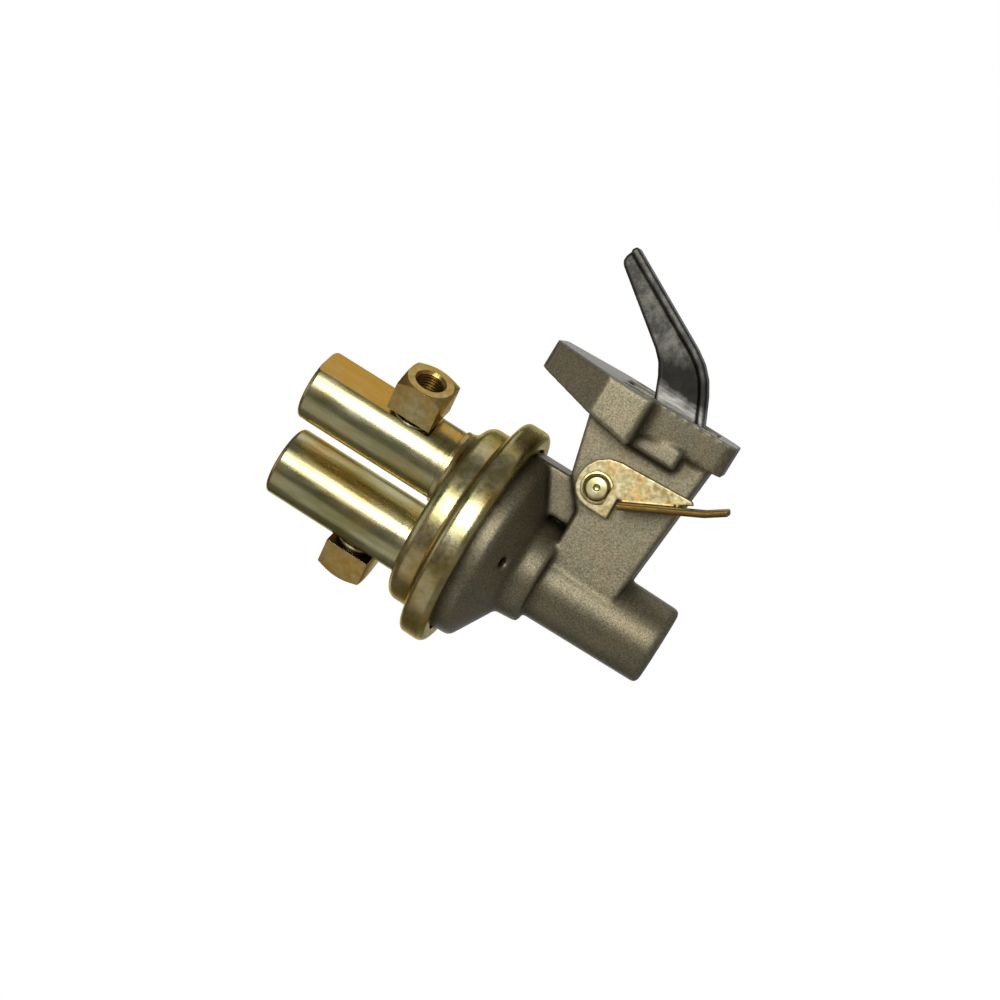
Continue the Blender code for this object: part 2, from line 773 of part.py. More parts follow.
def build_valve(name, side):
    """A plate valve. It opens away from its seat on a stem: outlet upwards, inlet downwards."""
    opens = side
    seat_edge = VALVE_DISC_TOP if opens > 0 else VALVE_DISC_BOTTOM
    ledge = seat_edge - opens * (VALVE_DISC_THICKNESS - SEAT_LEDGE)
    back = ledge + opens * FIT
    front = back + opens * SEAT_THICKNESS
    flap_back = front + opens * FIT
    flap_front = flap_back + opens * FLAP_THICKNESS
    spring_back = flap_front + opens * FIT
    head_back = spring_back + opens * (VALVE_SPRING_LENGTH + FIT)
    head_front = head_back + opens * STEM_HEAD_THICKNESS
    where = {"parent": VALVE_LINE, "location": (side * CANISTER_OFFSET, 0, 0)}
    seat = bar(f"{name}_seat", SEAT_RADIUS, *sorted((back, front)), look=BRONZE, **where)
    cut(seat, bar(f"{name}_seat_bore", STEM_RADIUS + BRAZE, *stretched(back, front), steps=12, **where))
    for k in range(FLOW_HOLES):
        angle = 2 * math.pi * k / FLOW_HOLES
        spot = (
            side * CANISTER_OFFSET + FLOW_CIRCLE * math.cos(angle),
            FLOW_CIRCLE * math.sin(angle),
            0,
        )
        hole = bar(
            f"{name}_flow_hole_{k}",
            FLOW_HOLE,
            *stretched(back, front),
            steps=10,
            parent=VALVE_LINE,
            location=spot,
        )
        cut(seat, hole)
    low, high = sorted((flap_back, flap_front))
    turned(
        f"{name}_flap",
        [
            (FLAP_RADIUS, high, 0),
            (FLAP_RADIUS, low, 0),
            (STEM_RADIUS + BRAZE, low, 0),
            (STEM_RADIUS + BRAZE, high, 0),
        ],
        closed=True,
        steps=24,
        look=RUBBER,
        **where,
    )
    coil(
        f"{name}_spring",
        VALVE_SPRING_RADIUS,
        VALVE_SPRING_WIRE,
        *sorted((spring_back, spring_back + opens * VALVE_SPRING_LENGTH)),
        VALVE_SPRING_TURNS,
        points_per_turn=8,
        look=STEEL,
        **where,
    )
    stem_foot = back - opens * STEM_HEAD_THICKNESS
    stem = bar(f"{name}_stem", STEM_RADIUS, *sorted((stem_foot, head_front)), steps=12, look=STEEL, **where)
    head = bar(f"{name}_stem_head", STEM_HEAD, *sorted((head_back, head_front)), steps=16, **where)
    rivet = bar(
        f"{name}_stem_rivet",
        STEM_RADIUS * 1.8,
        *sorted((stem_foot, back - opens * 0.15 * MM)),
        steps=12,
        **where,
    )
    join(stem, head, rivet)


def stretched(one, other, more=MM):
    """A cutter's two ends, past both faces that it goes through."""
    low, high = sorted((one, other))
    return low - more, high + more


def housing_bottom(x):
    """The height of the housing's sloping underside."""
    return -HOUSING_BOTTOM - HOUSING_SLOPE * x


def cavity_outline():
    """The arm's chamber in X and Z: from the barrel's bore to the mounting face."""
    roof = HOUSING_ROOF_START
    flat_roof = HOUSING_ROOF_END - 2 * CAVITY_WALL
    shelf = -BARREL_ROOF
    past = REACH + 2 * MM
    start = BARREL_BORE / 2
    return rounded(
        [
            (start, shelf, 0),
            (HOUSING_SHELF_END + CAVITY_WALL / 2, shelf, 2 * MM),
            (roof.x + CAVITY_WALL / 2, roof.y - CAVITY_WALL, 3 * MM),
            (RETURN_SPRING_AT - 2 * RETURN_SPRING_RADIUS, flat_roof, 2 * MM),
            (past, flat_roof, 0),
            (past, housing_bottom(past) + CAVITY_WALL + 2 * MM, 0),
            (start, housing_bottom(0) + CAVITY_WALL, 0),
        ]
    )


def build_flange_stock():
    """The mounting flange before its holes: its side profile, kept inside its face outline, and two pads."""
    top = -FLANGE_MIDDLE + PLATE_HEIGHT / 2
    foot = -FLANGE_MIDDLE - PLATE_HEIGHT / 2
    ear_top = -EAR_MIDDLE + EAR_HEIGHT / 2
    ear_foot = -EAR_MIDDLE - EAR_HEIGHT / 2
    half = [
        (PLATE_TOP_HALF, top, 3 * MM),
        (EAR_REACH, ear_top, 1.5 * MM),
        (EAR_REACH, ear_foot, 1.5 * MM),
        (PLATE_WAIST_HALF, ear_foot, 3 * MM),
        (PLATE_FOOT_HALF, foot, 4 * MM),
    ]
    face = half + [(-y, z, radius) for y, z, radius in reversed(half)]
    ear_back = REACH - EAR_THICKNESS
    plate_back = REACH - PLATE_THICKNESS
    profile = [
        (REACH, top + MM, 0),
        (REACH - PLATE_TOP_THICKNESS, top + MM, 0),
        (ear_back, ear_foot, MM),
        (plate_back, ear_foot, EAR_FILLET),
        (plate_back, foot - MM, 0),
        (REACH, foot - MM, 0),
    ]
    flange = plate("flange_stock", rounded(profile), 2 * EAR_REACH + 2 * MM)
    outline = plate(
        "flange_face",
        rounded(face),
        2 * EAR_THICKNESS,
        facing="X",
        location=(REACH, 0, 0),
    )
    keep_inside(flange, outline)
    pads = [
        block(
            f"flange_pad_{side}",
            (ear_back, min(side * CAVITY_HALF, side * PAD_HALF), -PAD_BOTTOM),
            (plate_back + 2 * MM, max(side * CAVITY_HALF, side * PAD_HALF), ear_foot + MM),
            bevel=1.5 * MM,
        )
        for side in (-1, 1)
    ]
    return [flange, *pads]


def build_casting():
    """The cast body: bowl, collar, barrel, arm housing, gusset and mounting flange in one piece."""
    casting = turned(
        "body_casting",
        [
            (0, CLAMP_TOP, 0),
            (CLAMP_RADIUS, CLAMP_TOP, 0),
            (CLAMP_RADIUS, CLAMP_BOTTOM, 0),
            (BOWL_RADIUS, CLAMP_BOTTOM, 0),
            (BOWL_RADIUS - 0.2 * MM, -BOWL_DEPTH, 3 * MM),
            (COLLAR_RADIUS, -CONE_BOTTOM, 0.8 * MM),
            (COLLAR_RADIUS - COLLAR_DRAFT, -COLLAR_BOTTOM, 1.6 * MM),
            (BARREL_RADIUS, -COLLAR_BOTTOM, 0),
            (BARREL_RADIUS - BARREL_DRAFT, -BARREL_BOTTOM, 2.6 * MM),
            (0, -BARREL_BOTTOM, 0),
        ],
        look=CASTING,
    )
    back = REACH - PLATE_THICKNESS + 2 * MM
    roof = HOUSING_ROOF_START
    housing = plate(
        "housing_stock",
        rounded(
            [
                (BARREL_BORE / 2, -HOUSING_SHELF, 0),
                (HOUSING_SHELF_END, -HOUSING_SHELF, 2 * MM),
                (roof.x, roof.y, 3 * MM),
                (back, HOUSING_ROOF_END, 0),
                (back, housing_bottom(back), 0),
                (BARREL_BORE / 2, housing_bottom(0), 0),
            ]
        ),
        2 * HOUSING_HALF,
    )
    soften(housing, MM)
    gusset = plate(
        "gusset_stock",
        rounded(
            [
                (GUSSET_START, -BOWL_DEPTH, 0),
                (BOWL_RADIUS - 0.2 * MM, -FIT, 0),
                (BOWL_RADIUS - 0.2 * MM, roof.y - MM, 0),
                (GUSSET_START + GUSSET_FOOT, -HOUSING_SHELF - MM, 0),
                (GUSSET_START, -HOUSING_SHELF - MM, 0),
            ]
        ),
        2 * GUSSET_HALF,
    )
    shaft_boss = bar(
        "shaft_boss_stock",
        SHAFT_BOSS,
        -HOUSING_HALF - SHAFT_BOSS_LENGTH,
        -CAVITY_HALF,
        facing="Y",
        parent=PRIMER_AXIS,
    )
    join(casting, housing, gusset, *build_flange_stock(), shaft_boss)

    bowl = turned(
        "bowl_cut",
        [
            (0, CLAMP_TOP + MM, 0),
            (BOWL_BORE, CLAMP_TOP + MM, 0),
            (BOWL_BORE, -BOWL_DEPTH + BOWL_WALL / 2, 3 * MM),
            (COLLAR_RADIUS - BOWL_WALL, -BOWL_FLOOR, MM),
            (SEAL_RADIUS + BRAZE, -BOWL_FLOOR, 0),
            (SEAL_RADIUS + BRAZE, -seal_floor(), 0),
            (ROD_RADIUS + 2 * FIT, -seal_floor(), 0),
            (ROD_RADIUS + 2 * FIT, -BARREL_ROOF - MM, 0),
            (0, -BARREL_ROOF - MM, 0),
        ],
    )
    barrel_bore = bar(
        "barrel_bore", BARREL_BORE, -BARREL_BOTTOM + BARREL_FLOOR, -BARREL_ROOF, steps=40
    )
    cavity = plate("arm_cavity", cavity_outline(), 2 * CAVITY_HALF)
    cone = Vector((BOWL_RADIUS - COLLAR_RADIUS, CONE_BOTTOM - BOWL_DEPTH))
    vent_tilt = math.atan2(cone.x, cone.y)
    vent_spot = Vector((COLLAR_RADIUS, -CONE_BOTTOM)).lerp(Vector((BOWL_RADIUS, -BOWL_DEPTH)), 1 - VENT_AT)
    vent_axis = carrier("vent_axis", PUMP, (0, -vent_spot.x, vent_spot.y), (math.pi / 2 + vent_tilt, 0, 0))
    vent = bar("vent_cut", VENT_RADIUS, -2 * BOWL_WALL, BOWL_WALL, steps=20, parent=vent_axis)
    pin_bore = bar(
        "pin_bore", PIN_RADIUS + BRAZE, -HOUSING_HALF - MM, HOUSING_HALF + MM, facing="Y", parent=ROCKER_AXIS
    )
    shaft_bore = bar(
        "shaft_bore",
        SHAFT_RADIUS + FIT,
        -LEVER_BACK - MM,
        shaft_far_end() + FIT,
        facing="Y",
        parent=PRIMER_AXIS,
    )
    bolts = [
        bar(
            f"bolt_hole_{side}",
            BOLT_HOLE,
            REACH - EAR_THICKNESS - MM,
            REACH + MM,
            facing="X",
            steps=24,
            location=(0, side * BOLT_SPACING / 2, -EAR_MIDDLE),
        )
        for side in (-1, 1)
    ]
    cut(casting, bowl, barrel_bore, cavity, vent, pin_bore, shaft_bore, *bolts)
    return casting


def seal_floor():
    """How far below the lip the rod seal's pocket ends."""
    return BOWL_FLOOR + RETAINER_THICKNESS + SEAL_HEIGHT + 2 * FIT


def shaft_far_end():
    """Where the primer shaft ends in the far wall."""
    return CAVITY_HALF + (HOUSING_HALF - CAVITY_HALF) * 0.65


def build_diaphragm_stack():
    """The diaphragm between two dished plates, on the pull rod with its nut, seal and spring seat."""
    bottom, top = DIAPHRAGM_BOTTOM, DIAPHRAGM_TOP
    hole = ROD_RADIUS + BRAZE
    low = bottom - CONVOLUTION_DEPTH
    outer = BOWL_BORE - BRAZE
    inner = LOWER_PLATE_RADIUS + 1.6 * MM
    wall = DIAPHRAGM_THICKNESS
    turned(
        "diaphragm",
        [
            (CLAMP_RADIUS, top, 0),
            (CLAMP_RADIUS, bottom, 0),
            (outer, bottom, 0),
            (outer - 1.8 * MM, low, MM),
            (inner + 1.8 * MM, low, MM),
            (inner, bottom, 0),
            (hole, bottom, 0),
            (hole, top, 0),
            (inner + wall * 0.6, top, 0),
            (inner + wall * 0.6 + 1.7 * MM, low + wall, MM),
            (outer - wall * 0.6 - 1.7 * MM, low + wall, MM),
            (outer - wall * 0.6, top, 0),
        ],
        closed=True,
        steps=36,
        look=FABRIC_RUBBER,
    )
    plate_top = bottom - FIT
    plate_bottom = plate_top - STACK_PLATE
    turned(
        "diaphragm_lower_plate",
        [
            (LOWER_PLATE_RADIUS - MM, plate_top, MM),
            (LOWER_PLATE_RADIUS, plate_bottom - PLATE_LIP, 0),
            (LOWER_PLATE_RADIUS - STACK_PLATE, plate_bottom - PLATE_LIP, 0),
            (LOWER_PLATE_RADIUS - STACK_PLATE - MM, plate_bottom, MM),
            (hole, plate_bottom, 0),
            (hole, plate_top, 0),
        ],
        closed=True,
        steps=32,
        look=STEEL,
    )
    upper_bottom = top + FIT
    upper_top = upper_bottom + STACK_PLATE
    turned(
        "diaphragm_upper_plate",
        [
            (UPPER_PLATE_RADIUS, upper_top + PLATE_LIP, 0),
            (UPPER_PLATE_RADIUS - MM, upper_bottom, MM),
            (hole, upper_bottom, 0),
            (hole, upper_top, 0),
            (UPPER_PLATE_RADIUS - STACK_PLATE - MM, upper_top, MM),
            (UPPER_PLATE_RADIUS - STACK_PLATE, upper_top + PLATE_LIP, 0),
        ],
        closed=True,
        steps=32,
        look=STEEL,
    )
    nut_bottom = upper_top + FIT
    nut = bar(
        "rod_nut", NUT_FLATS / math.sqrt(3), nut_bottom, nut_bottom + NUT_HEIGHT, steps=6, look=STEEL
    )
    cut(nut, bar("nut_bore", hole, *stretched(nut_bottom, nut_bottom + NUT_HEIGHT), steps=20))
    collar_top = plate_bottom - FIT
    seat_top = rod_seat_top()
    seat_bottom = seat_top - SPRING_SEAT_THICKNESS
    turned(
        "pull_rod",
        [
            (0, nut_bottom + NUT_HEIGHT + 0.8 * MM, 0),
            (ROD_RADIUS, nut_bottom + NUT_HEIGHT + 0.8 * MM, 0.5 * MM),
            (ROD_RADIUS, collar_top, 0),
            (ROD_COLLAR_RADIUS, collar_top, 0),
            (ROD_COLLAR_RADIUS, collar_top - ROD_COLLAR, 0.4 * MM),
            (ROD_RADIUS, collar_top - ROD_COLLAR, 0),
            (ROD_RADIUS, seat_bottom - FIT, 0),
            (ROD_RADIUS + 1.5 * MM, seat_bottom - FIT, 0),
            (ROD_RADIUS + 1.5 * MM, seat_bottom - FIT - 1.6 * MM, MM),
            (0, seat_bottom - FIT - 1.6 * MM, 0),
        ],
        steps=24,
        look=STEEL,
    )
    seal_bottom = -seal_floor() + FIT
    seal_top = seal_bottom + SEAL_HEIGHT
    slope = SEAL_RADIUS - ROD_RADIUS
    turned(
        "rod_oil_seal",
        [
            (SEAL_RADIUS, seal_top, 0),
            (SEAL_RADIUS, seal_bottom, 0),
            (SEAL_RADIUS - slope * 0.35, seal_bottom, 0),
            (SEAL_RADIUS - slope * 0.35, seal_bottom + SEAL_HEIGHT * 0.55, MM),
            (ROD_RADIUS + 2.4 * MM, seal_bottom + SEAL_HEIGHT * 0.55, MM),
            (ROD_RADIUS + 1.6 * MM, seal_bottom + 0.4 * MM, 0),
            (ROD_RADIUS + FIT, seal_bottom + MM, 0),
            (ROD_RADIUS + 1.2 * MM, seal_top, 0),
        ],
        closed=True,
        steps=20,
        look=RUBBER,
    )
    turned(
        "seal_retainer",
        [
            (SEAL_RADIUS, seal_top + FIT + RETAINER_THICKNESS, 0.3 * MM),
            (SEAL_RADIUS, seal_top + FIT, 0),
            (ROD_RADIUS + 1.5 * MM, seal_top + FIT, 0),
            (ROD_RADIUS + 1.5 * MM, seal_top + FIT + RETAINER_THICKNESS, 0),
        ],
        closed=True,
        steps=20,
        look=STEEL,
    )
    turned(
        "spring_seat",
        [
            (SPRING_SEAT_RADIUS, seat_top, 0.6 * MM),
            (SPRING_SEAT_RADIUS, seat_bottom, 0.3 * MM),
            (hole, seat_bottom, 0),
            (hole, seat_top, 0),
        ],
        closed=True,
        steps=20,
        look=STEEL,
    )
    coil(
        "diaphragm_spring",
        SPRING_SEAT_RADIUS - SPRING_WIRE / 2 - 0.4 * MM,
        SPRING_WIRE,
        -BARREL_BOTTOM + BARREL_FLOOR + FIT,
        seat_bottom - FIT,
        SPRING_TURNS,
        look=STEEL,
    )


def rod_seat_top():
    """The height of the spring seat's upper face, which the link's lobes press."""
    return PIVOT.y + FORK_ABOVE_PIVOT - LOBE_RADIUS - FIT


def build_arm():
    """The forged rocker arm: hub, web, and the wide rim down its outer edge to the tip."""
    face = Vector((REACH, 0)) - PIVOT
    tip = ARM_TIP + face
    inner_tip = ARM_INNER_TIP + face
    knee = ARM_KNEE + face
    inner_knee = ARM_INNER_KNEE + face
    heel = ARM_HEEL + face
    saddle = -ARM_SADDLE - PIVOT.y
    saddle_end = Vector((-ARM_SADDLE_SETBACK, -ARM_SADDLE)) + face
    outline = rounded(
        [
            (HUB_RADIUS * 0.5, saddle, 0),
            (saddle_end.x, saddle_end.y, ARM_SADDLE_RADIUS),
            (inner_knee.x, inner_knee.y, ARM_INNER_KNEE_RADIUS),
            (inner_tip.x, inner_tip.y, ARM_INNER_TIP_RADIUS),
            (tip.x, tip.y, ARM_TIP_RADIUS),
            (knee.x, knee.y, ARM_KNEE_RADIUS),
            (heel.x, heel.y, ARM_HEEL_RADIUS),
            (HUB_RADIUS * 0.2, -HUB_RADIUS * 0.98, 0),
            (0, 0, 0),
        ],
    )
    arm = plate("rocker_arm", outline, 2 * ARM_HALF, parent=ROCKER_AXIS, look=FORGED)
    soften(arm, 0.8 * MM, segments=1)
    hub = bar("arm_hub_stock", HUB_RADIUS, -HUB_HALF, HUB_HALF, facing="Y", steps=32, parent=ROCKER_AXIS)
    outer_edge = rounded(
        [
            (tip.x, tip.y, 0),
            (knee.x, knee.y, ARM_KNEE_RADIUS),
            (heel.x, heel.y, ARM_HEEL_RADIUS),
            (HUB_RADIUS, heel.y, 0),
        ],
        closed=False,
    )
    rim = plate(
        "arm_rim_stock",
        banded(outer_edge, ARM_RIM),
        2 * ARM_RIM_HALF,
        parent=ROCKER_AXIS,
    )
    soften(rim, 0.9 * MM, segments=2)
    nub = bar(
        "arm_nub_stock",
        RETURN_SPRING_RADIUS - RETURN_SPRING_WIRE / 2 - 2 * FIT,
        -ARM_SADDLE - 2 * MM,
        -ARM_SADDLE + 3 * MM,
        steps=16,
        location=(RETURN_SPRING_AT, 0, 0),
    )
    join(arm, hub, rim, nub)
    bush_bore = PIN_RADIUS + FIT
    bush_outside = bush_bore + BUSH_WALL
    cut(
        arm,
        bar(
            "arm_bore",
            bush_outside + BRAZE,
            -2 * HUB_HALF,
            2 * HUB_HALF,
            facing="Y",
            parent=ROCKER_AXIS,
        ),
    )
    bush = bar("arm_bushing", bush_outside, -HUB_HALF, HUB_HALF, facing="Y", parent=ROCKER_AXIS, look=BRONZE)
    cut(bush, bar("bush_bore", bush_bore, -2 * HUB_HALF, 2 * HUB_HALF, facing="Y", parent=ROCKER_AXIS))
    return arm


def banded(edge, width):
    """A closed band that follows an open edge, its other side moved over by the width."""
    moved = []
    for i, point in enumerate(edge):
        ahead = edge[min(i + 1, len(edge) - 1)] - edge[max(i - 1, 0)]
        normal = Vector((ahead.y, -ahead.x)).normalized()
        moved.append(point + normal * width)
    return list(edge) + moved[::-1]


def build_link():
    """The link: two plates beside the arm's hub, a bridge, and a fork whose lobes press the spring seat."""
    plate_middle = HUB_HALF + FIT * 1.5 + LINK_PLATE / 2
    far = plate_middle + LINK_PLATE / 2
    fork = Vector((-PIVOT.x, FORK_ABOVE_PIVOT))
    bridge = Vector((-PIVOT.x / 2, FORK_ABOVE_PIVOT + LOBE_RADIUS - LINK_BAR / 2))
    outline = hull_outline(Vector((0, 0)), LINK_HUB, bridge, LINK_BAR * 0.8)
    link = block(
        "rocker_link",
        (fork.x + ROD_RADIUS + 5 * MM, -far + FIT, bridge.y - LINK_BAR / 2 - FIT),
        (bridge.x + 2 * MM, far - FIT, bridge.y + LINK_BAR / 2 + FIT),
        parent=ROCKER_AXIS,
        look=FORGED,
    )
    tine_end = fork.x + ROD_RADIUS + 7 * MM
    turns = (math.pi / 2 + 1.5 * math.pi * k / 12 for k in range(13))
    lobe = [fork + LOBE_RADIUS * Vector((math.cos(a), math.sin(a))) for a in turns]
    for side in (-1, 1):
        cheek = plate(
            f"link_cheek_{side}",
            outline,
            LINK_PLATE,
            parent=ROCKER_AXIS,
            location=(0, side * plate_middle, 0),
        )
        tine = plate(
            f"link_tine_{side}",
            lobe + [(tine_end, fork.y), (tine_end, fork.y + LINK_BAR)],
            FORK_HALF - FORK_SLOT,
            parent=ROCKER_AXIS,
            location=(0, side * (FORK_HALF + FORK_SLOT) / 2, 0),
        )
        join(link, cheek, tine)
    cut(
        link,
        bar("link_bore", PIN_RADIUS + FIT, -2 * far, 2 * far, facing="Y", parent=ROCKER_AXIS),
    )
    spacer_gap = CAVITY_HALF - far
    spacer_half = (spacer_gap - 2 * FIT) / 2
    for side, name in ((-1, "near"), (1, "far")):
        middle = side * (far + spacer_gap / 2)
        spacer = bar(
            f"pin_spacer_{name}",
            SPACER_RADIUS,
            middle - spacer_half,
            middle + spacer_half,
            facing="Y",
            parent=ROCKER_AXIS,
            look=STEEL,
        )
        bore = bar(
            f"spacer_bore_{name}",
            PIN_RADIUS + FIT,
            middle - 2 * spacer_half,
            middle + 2 * spacer_half,
            facing="Y",
            parent=ROCKER_AXIS,
        )
        cut(spacer, bore)
    bar(
        "rocker_pin",
        PIN_RADIUS,
        -HOUSING_HALF + FIT,
        HOUSING_HALF - FIT,
        facing="Y",
        parent=ROCKER_AXIS,
        look=STEEL,
    )
    coil(
        "arm_return_spring",
        RETURN_SPRING_RADIUS,
        RETURN_SPRING_WIRE,
        -ARM_SADDLE + FIT,
        HOUSING_ROOF_END - 2 * CAVITY_WALL - FIT,
        RETURN_SPRING_TURNS,
        points_per_turn=10,
        location=(RETURN_SPRING_AT, 0, 0),
        look=STEEL,
    )
    return link


def build_primer():
    """The primer: a cam shaft across the housing, its seal ring, the folded lever and the return spring."""
    lever_axis = carrier("primer_shaft_axis", PRIMER_AXIS, rotation=(math.pi / 2, 0, 0))
    groove_in = SHAFT_RADIUS - SEAL_RING
    groove_high = CAVITY_HALF + 3.4 * MM
    groove_low = groove_high - 2 * SEAL_RING - 2 * FIT
    tip = LEVER_FRONT + FIT + HEAD_THICKNESS
    shaft = turned(
        "primer_shaft",
        [
            (0, tip + 0.9 * MM, 0),
            (SHAFT_END_RADIUS, tip + 0.4 * MM, 0.8 * MM),
            (SHAFT_END_RADIUS, tip, 0),
            (HEAD_RADIUS, tip, 0.3 * MM),
            (HEAD_RADIUS, LEVER_FRONT + FIT, 0),
            (SHAFT_END_RADIUS, LEVER_FRONT + FIT, 0),
            (SHAFT_END_RADIUS, LEVER_BACK - FIT, 0),
            (SHAFT_RADIUS, LEVER_BACK - FIT, 0),
            (SHAFT_RADIUS, groove_high, 0),
            (groove_in, groove_high, 0),
            (groove_in, groove_low, 0),
            (SHAFT_RADIUS, groove_low, 0),
            (SHAFT_RADIUS, -shaft_far_end(), 0.4 * MM),
            (0, -shaft_far_end(), 0),
        ],
        steps=24,
        parent=lever_axis,
        look=ZINC,
    )
    wide = 2 * SHAFT_RADIUS
    flat = block(
        "shaft_flat_cut",
        (-wide, -wide, LEVER_BACK - FIT),
        (wide, -SHAFT_FLAT, LEVER_FRONT + FIT),
        parent=lever_axis,
    )
    head_flat = block(
        "head_flat_cut",
        (-wide, -wide, LEVER_FRONT),
        (wide, -SHAFT_FLAT - 1.2 * MM, tip + 2 * MM),
        parent=lever_axis,
    )
    end_flat = block(
        "end_flat_cut",
        (-wide, -wide, tip),
        (wide, -SHAFT_FLAT, tip + 2 * MM),
        parent=lever_axis,
    )
    cam = block(
        "cam_flat_cut",
        (-wide, -wide, -CAVITY_HALF + MM),
        (wide, -CAM_FLAT, CAVITY_HALF - MM),
        parent=lever_axis,
    )
    cut(shaft, flat, head_flat, end_flat, cam)
    ring_middle = (groove_low + groove_high) / 2
    turned(
        "shaft_seal_ring",
        [
            (SHAFT_RADIUS + BRAZE / 2, ring_middle + SEAL_RING, SEAL_RING * 0.5),
            (SHAFT_RADIUS + BRAZE / 2, ring_middle - SEAL_RING, SEAL_RING * 0.5),
            (groove_in + BRAZE, ring_middle - SEAL_RING, SEAL_RING * 0.3),
            (groove_in + BRAZE, ring_middle + SEAL_RING, SEAL_RING * 0.3),
        ],
        closed=True,
        steps=20,
        parent=lever_axis,
        look=RUBBER,
    )
    fold, fold_end, beak = LEVER_FOLD, LEVER_FOLD_END, LEVER_BEAK
    outline = rounded(
        [
            (beak.x, beak.y, 0.5 * MM),
            (beak.x, LEVER_HUB, LEVER_HUB),
            (LEVER_SHOULDER, LEVER_HUB, LEVER_SHOULDER_RADIUS),
            (LEVER_CORNER.x, LEVER_CORNER.y, 0.8 * MM),
            (fold_end.x, fold_end.y, 0),
            (fold.x, fold.y, 0),
            (fold.x, beak.y + 0.2 * MM, 0),
        ]
    )
    middle = (LEVER_BACK + LEVER_FRONT) / 2
    lever = plate(
        "primer_lever",
        outline,
        LEVER_THICKNESS,
        parent=PRIMER_AXIS,
        location=(0, -middle, 0),
        look=ZINC,
    )
    hole = plate(
        "lever_hole_cut",
        flatted_circle(SHAFT_END_RADIUS + BRAZE, SHAFT_FLAT + BRAZE),
        2 * LEVER_THICKNESS,
        parent=PRIMER_AXIS,
        location=lever.location,
    )
    along = (fold_end - fold).normalized()
    along.rotate(Matrix.Rotation(-TAB_TURN, 2))
    tip_along = along.copy()
    tip_along.rotate(Matrix.Rotation(TAB_TIP_TURN, 2))
    start = fold - along * 3 * MM
    bend = fold + along * (TAB_LENGTH - TAB_TIP)
    across = Vector((-along.y, along.x)) * 0.6 * MM
    path = [start + across, bend + across, bend + across + tip_along * TAB_TIP]
    tab = plate(
        "lever_tab_stock",
        banded(path, LEVER_THICKNESS),
        TAB_WIDTH,
        parent=PRIMER_AXIS,
        location=(0, -LEVER_BACK - 0.2 * MM - TAB_WIDTH / 2, 0),
    )
    soften(tab, 0.3 * MM, segments=1)
    join(lever, tab)
    cut(lever, hole)
    boss_clear = SHAFT_BOSS + FIT + PRIMER_SPRING_WIRE / 2
    curl = coil(
        "primer_return_spring",
        boss_clear,
        PRIMER_SPRING_WIRE,
        HOUSING_HALF + FIT,
        LEVER_BACK - FIT,
        2.05,
        points_per_turn=14,
        parent=lever_axis,
        look=STEEL,
    )
    return lever, curl


def main():
    build_casting()
    build_cover()
    for name, side in (("inlet", -1), ("outlet", 1)):
        build_canister(f"{name}_canister", side)
        build_fitting(f"{name}_fitting", side)
        build_valve(f"{name}_valve", side)
    build_valve_body()
    build_diaphragm_stack()
    build_arm()
    build_link()
    build_primer()


main()
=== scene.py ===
"""Looks of a diaphragm fuel transfer pump: finer skins on what shows, finishes and the studio.

Lengths are in metres in the frame's axes: +X out of the mounting face, +Z up the pump's axis,
-Y the primer lever's side. The pump's own axis stands the reach behind the mounting face.
"""

import logging
import math
from collections.abc import Callable, Sequence
from dataclasses import dataclass, field
from enum import Enum

import bmesh
import bpy
import numpy as np
from mathutils import Matrix, Vector


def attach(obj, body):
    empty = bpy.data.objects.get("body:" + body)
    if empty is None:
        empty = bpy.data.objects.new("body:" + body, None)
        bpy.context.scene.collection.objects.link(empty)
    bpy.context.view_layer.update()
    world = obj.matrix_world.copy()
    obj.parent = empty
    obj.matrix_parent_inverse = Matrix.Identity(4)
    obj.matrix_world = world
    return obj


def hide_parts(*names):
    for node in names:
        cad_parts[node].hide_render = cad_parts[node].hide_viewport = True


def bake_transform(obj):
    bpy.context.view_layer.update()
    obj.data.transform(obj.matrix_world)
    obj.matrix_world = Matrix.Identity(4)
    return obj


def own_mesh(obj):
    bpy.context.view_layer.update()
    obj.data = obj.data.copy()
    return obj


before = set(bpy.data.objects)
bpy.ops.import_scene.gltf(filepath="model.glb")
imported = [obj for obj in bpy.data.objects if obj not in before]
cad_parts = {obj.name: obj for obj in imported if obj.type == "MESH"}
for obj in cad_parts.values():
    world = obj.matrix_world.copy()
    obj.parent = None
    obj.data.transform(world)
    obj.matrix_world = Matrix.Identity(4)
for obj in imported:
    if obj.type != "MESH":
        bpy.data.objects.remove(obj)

log = logging.getLogger("pump")

MM = 0.001
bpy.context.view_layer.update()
ARC_STEP = 6.0  # degrees that one step of a rounded corner turns
QUARTER_X = Matrix.Rotation(math.pi / 2, 4, "X")
QUARTER_Y = Matrix.Rotation(math.pi / 2, 4, "Y")
WHITE = (1.0, 1.0, 1.0, 1.0)
WAYS = {"inlet": -1, "outlet": 1}  # which side of the pump's axis each canister is on

Place = tuple[float, float, float]
Corner = tuple[float, float, float]
Inputs = dict[str | int, object] | list[object]
Object = bpy.types.Object
Material = bpy.types.Material
Tree = bpy.types.NodeTree
Socket = bpy.types.NodeSocket


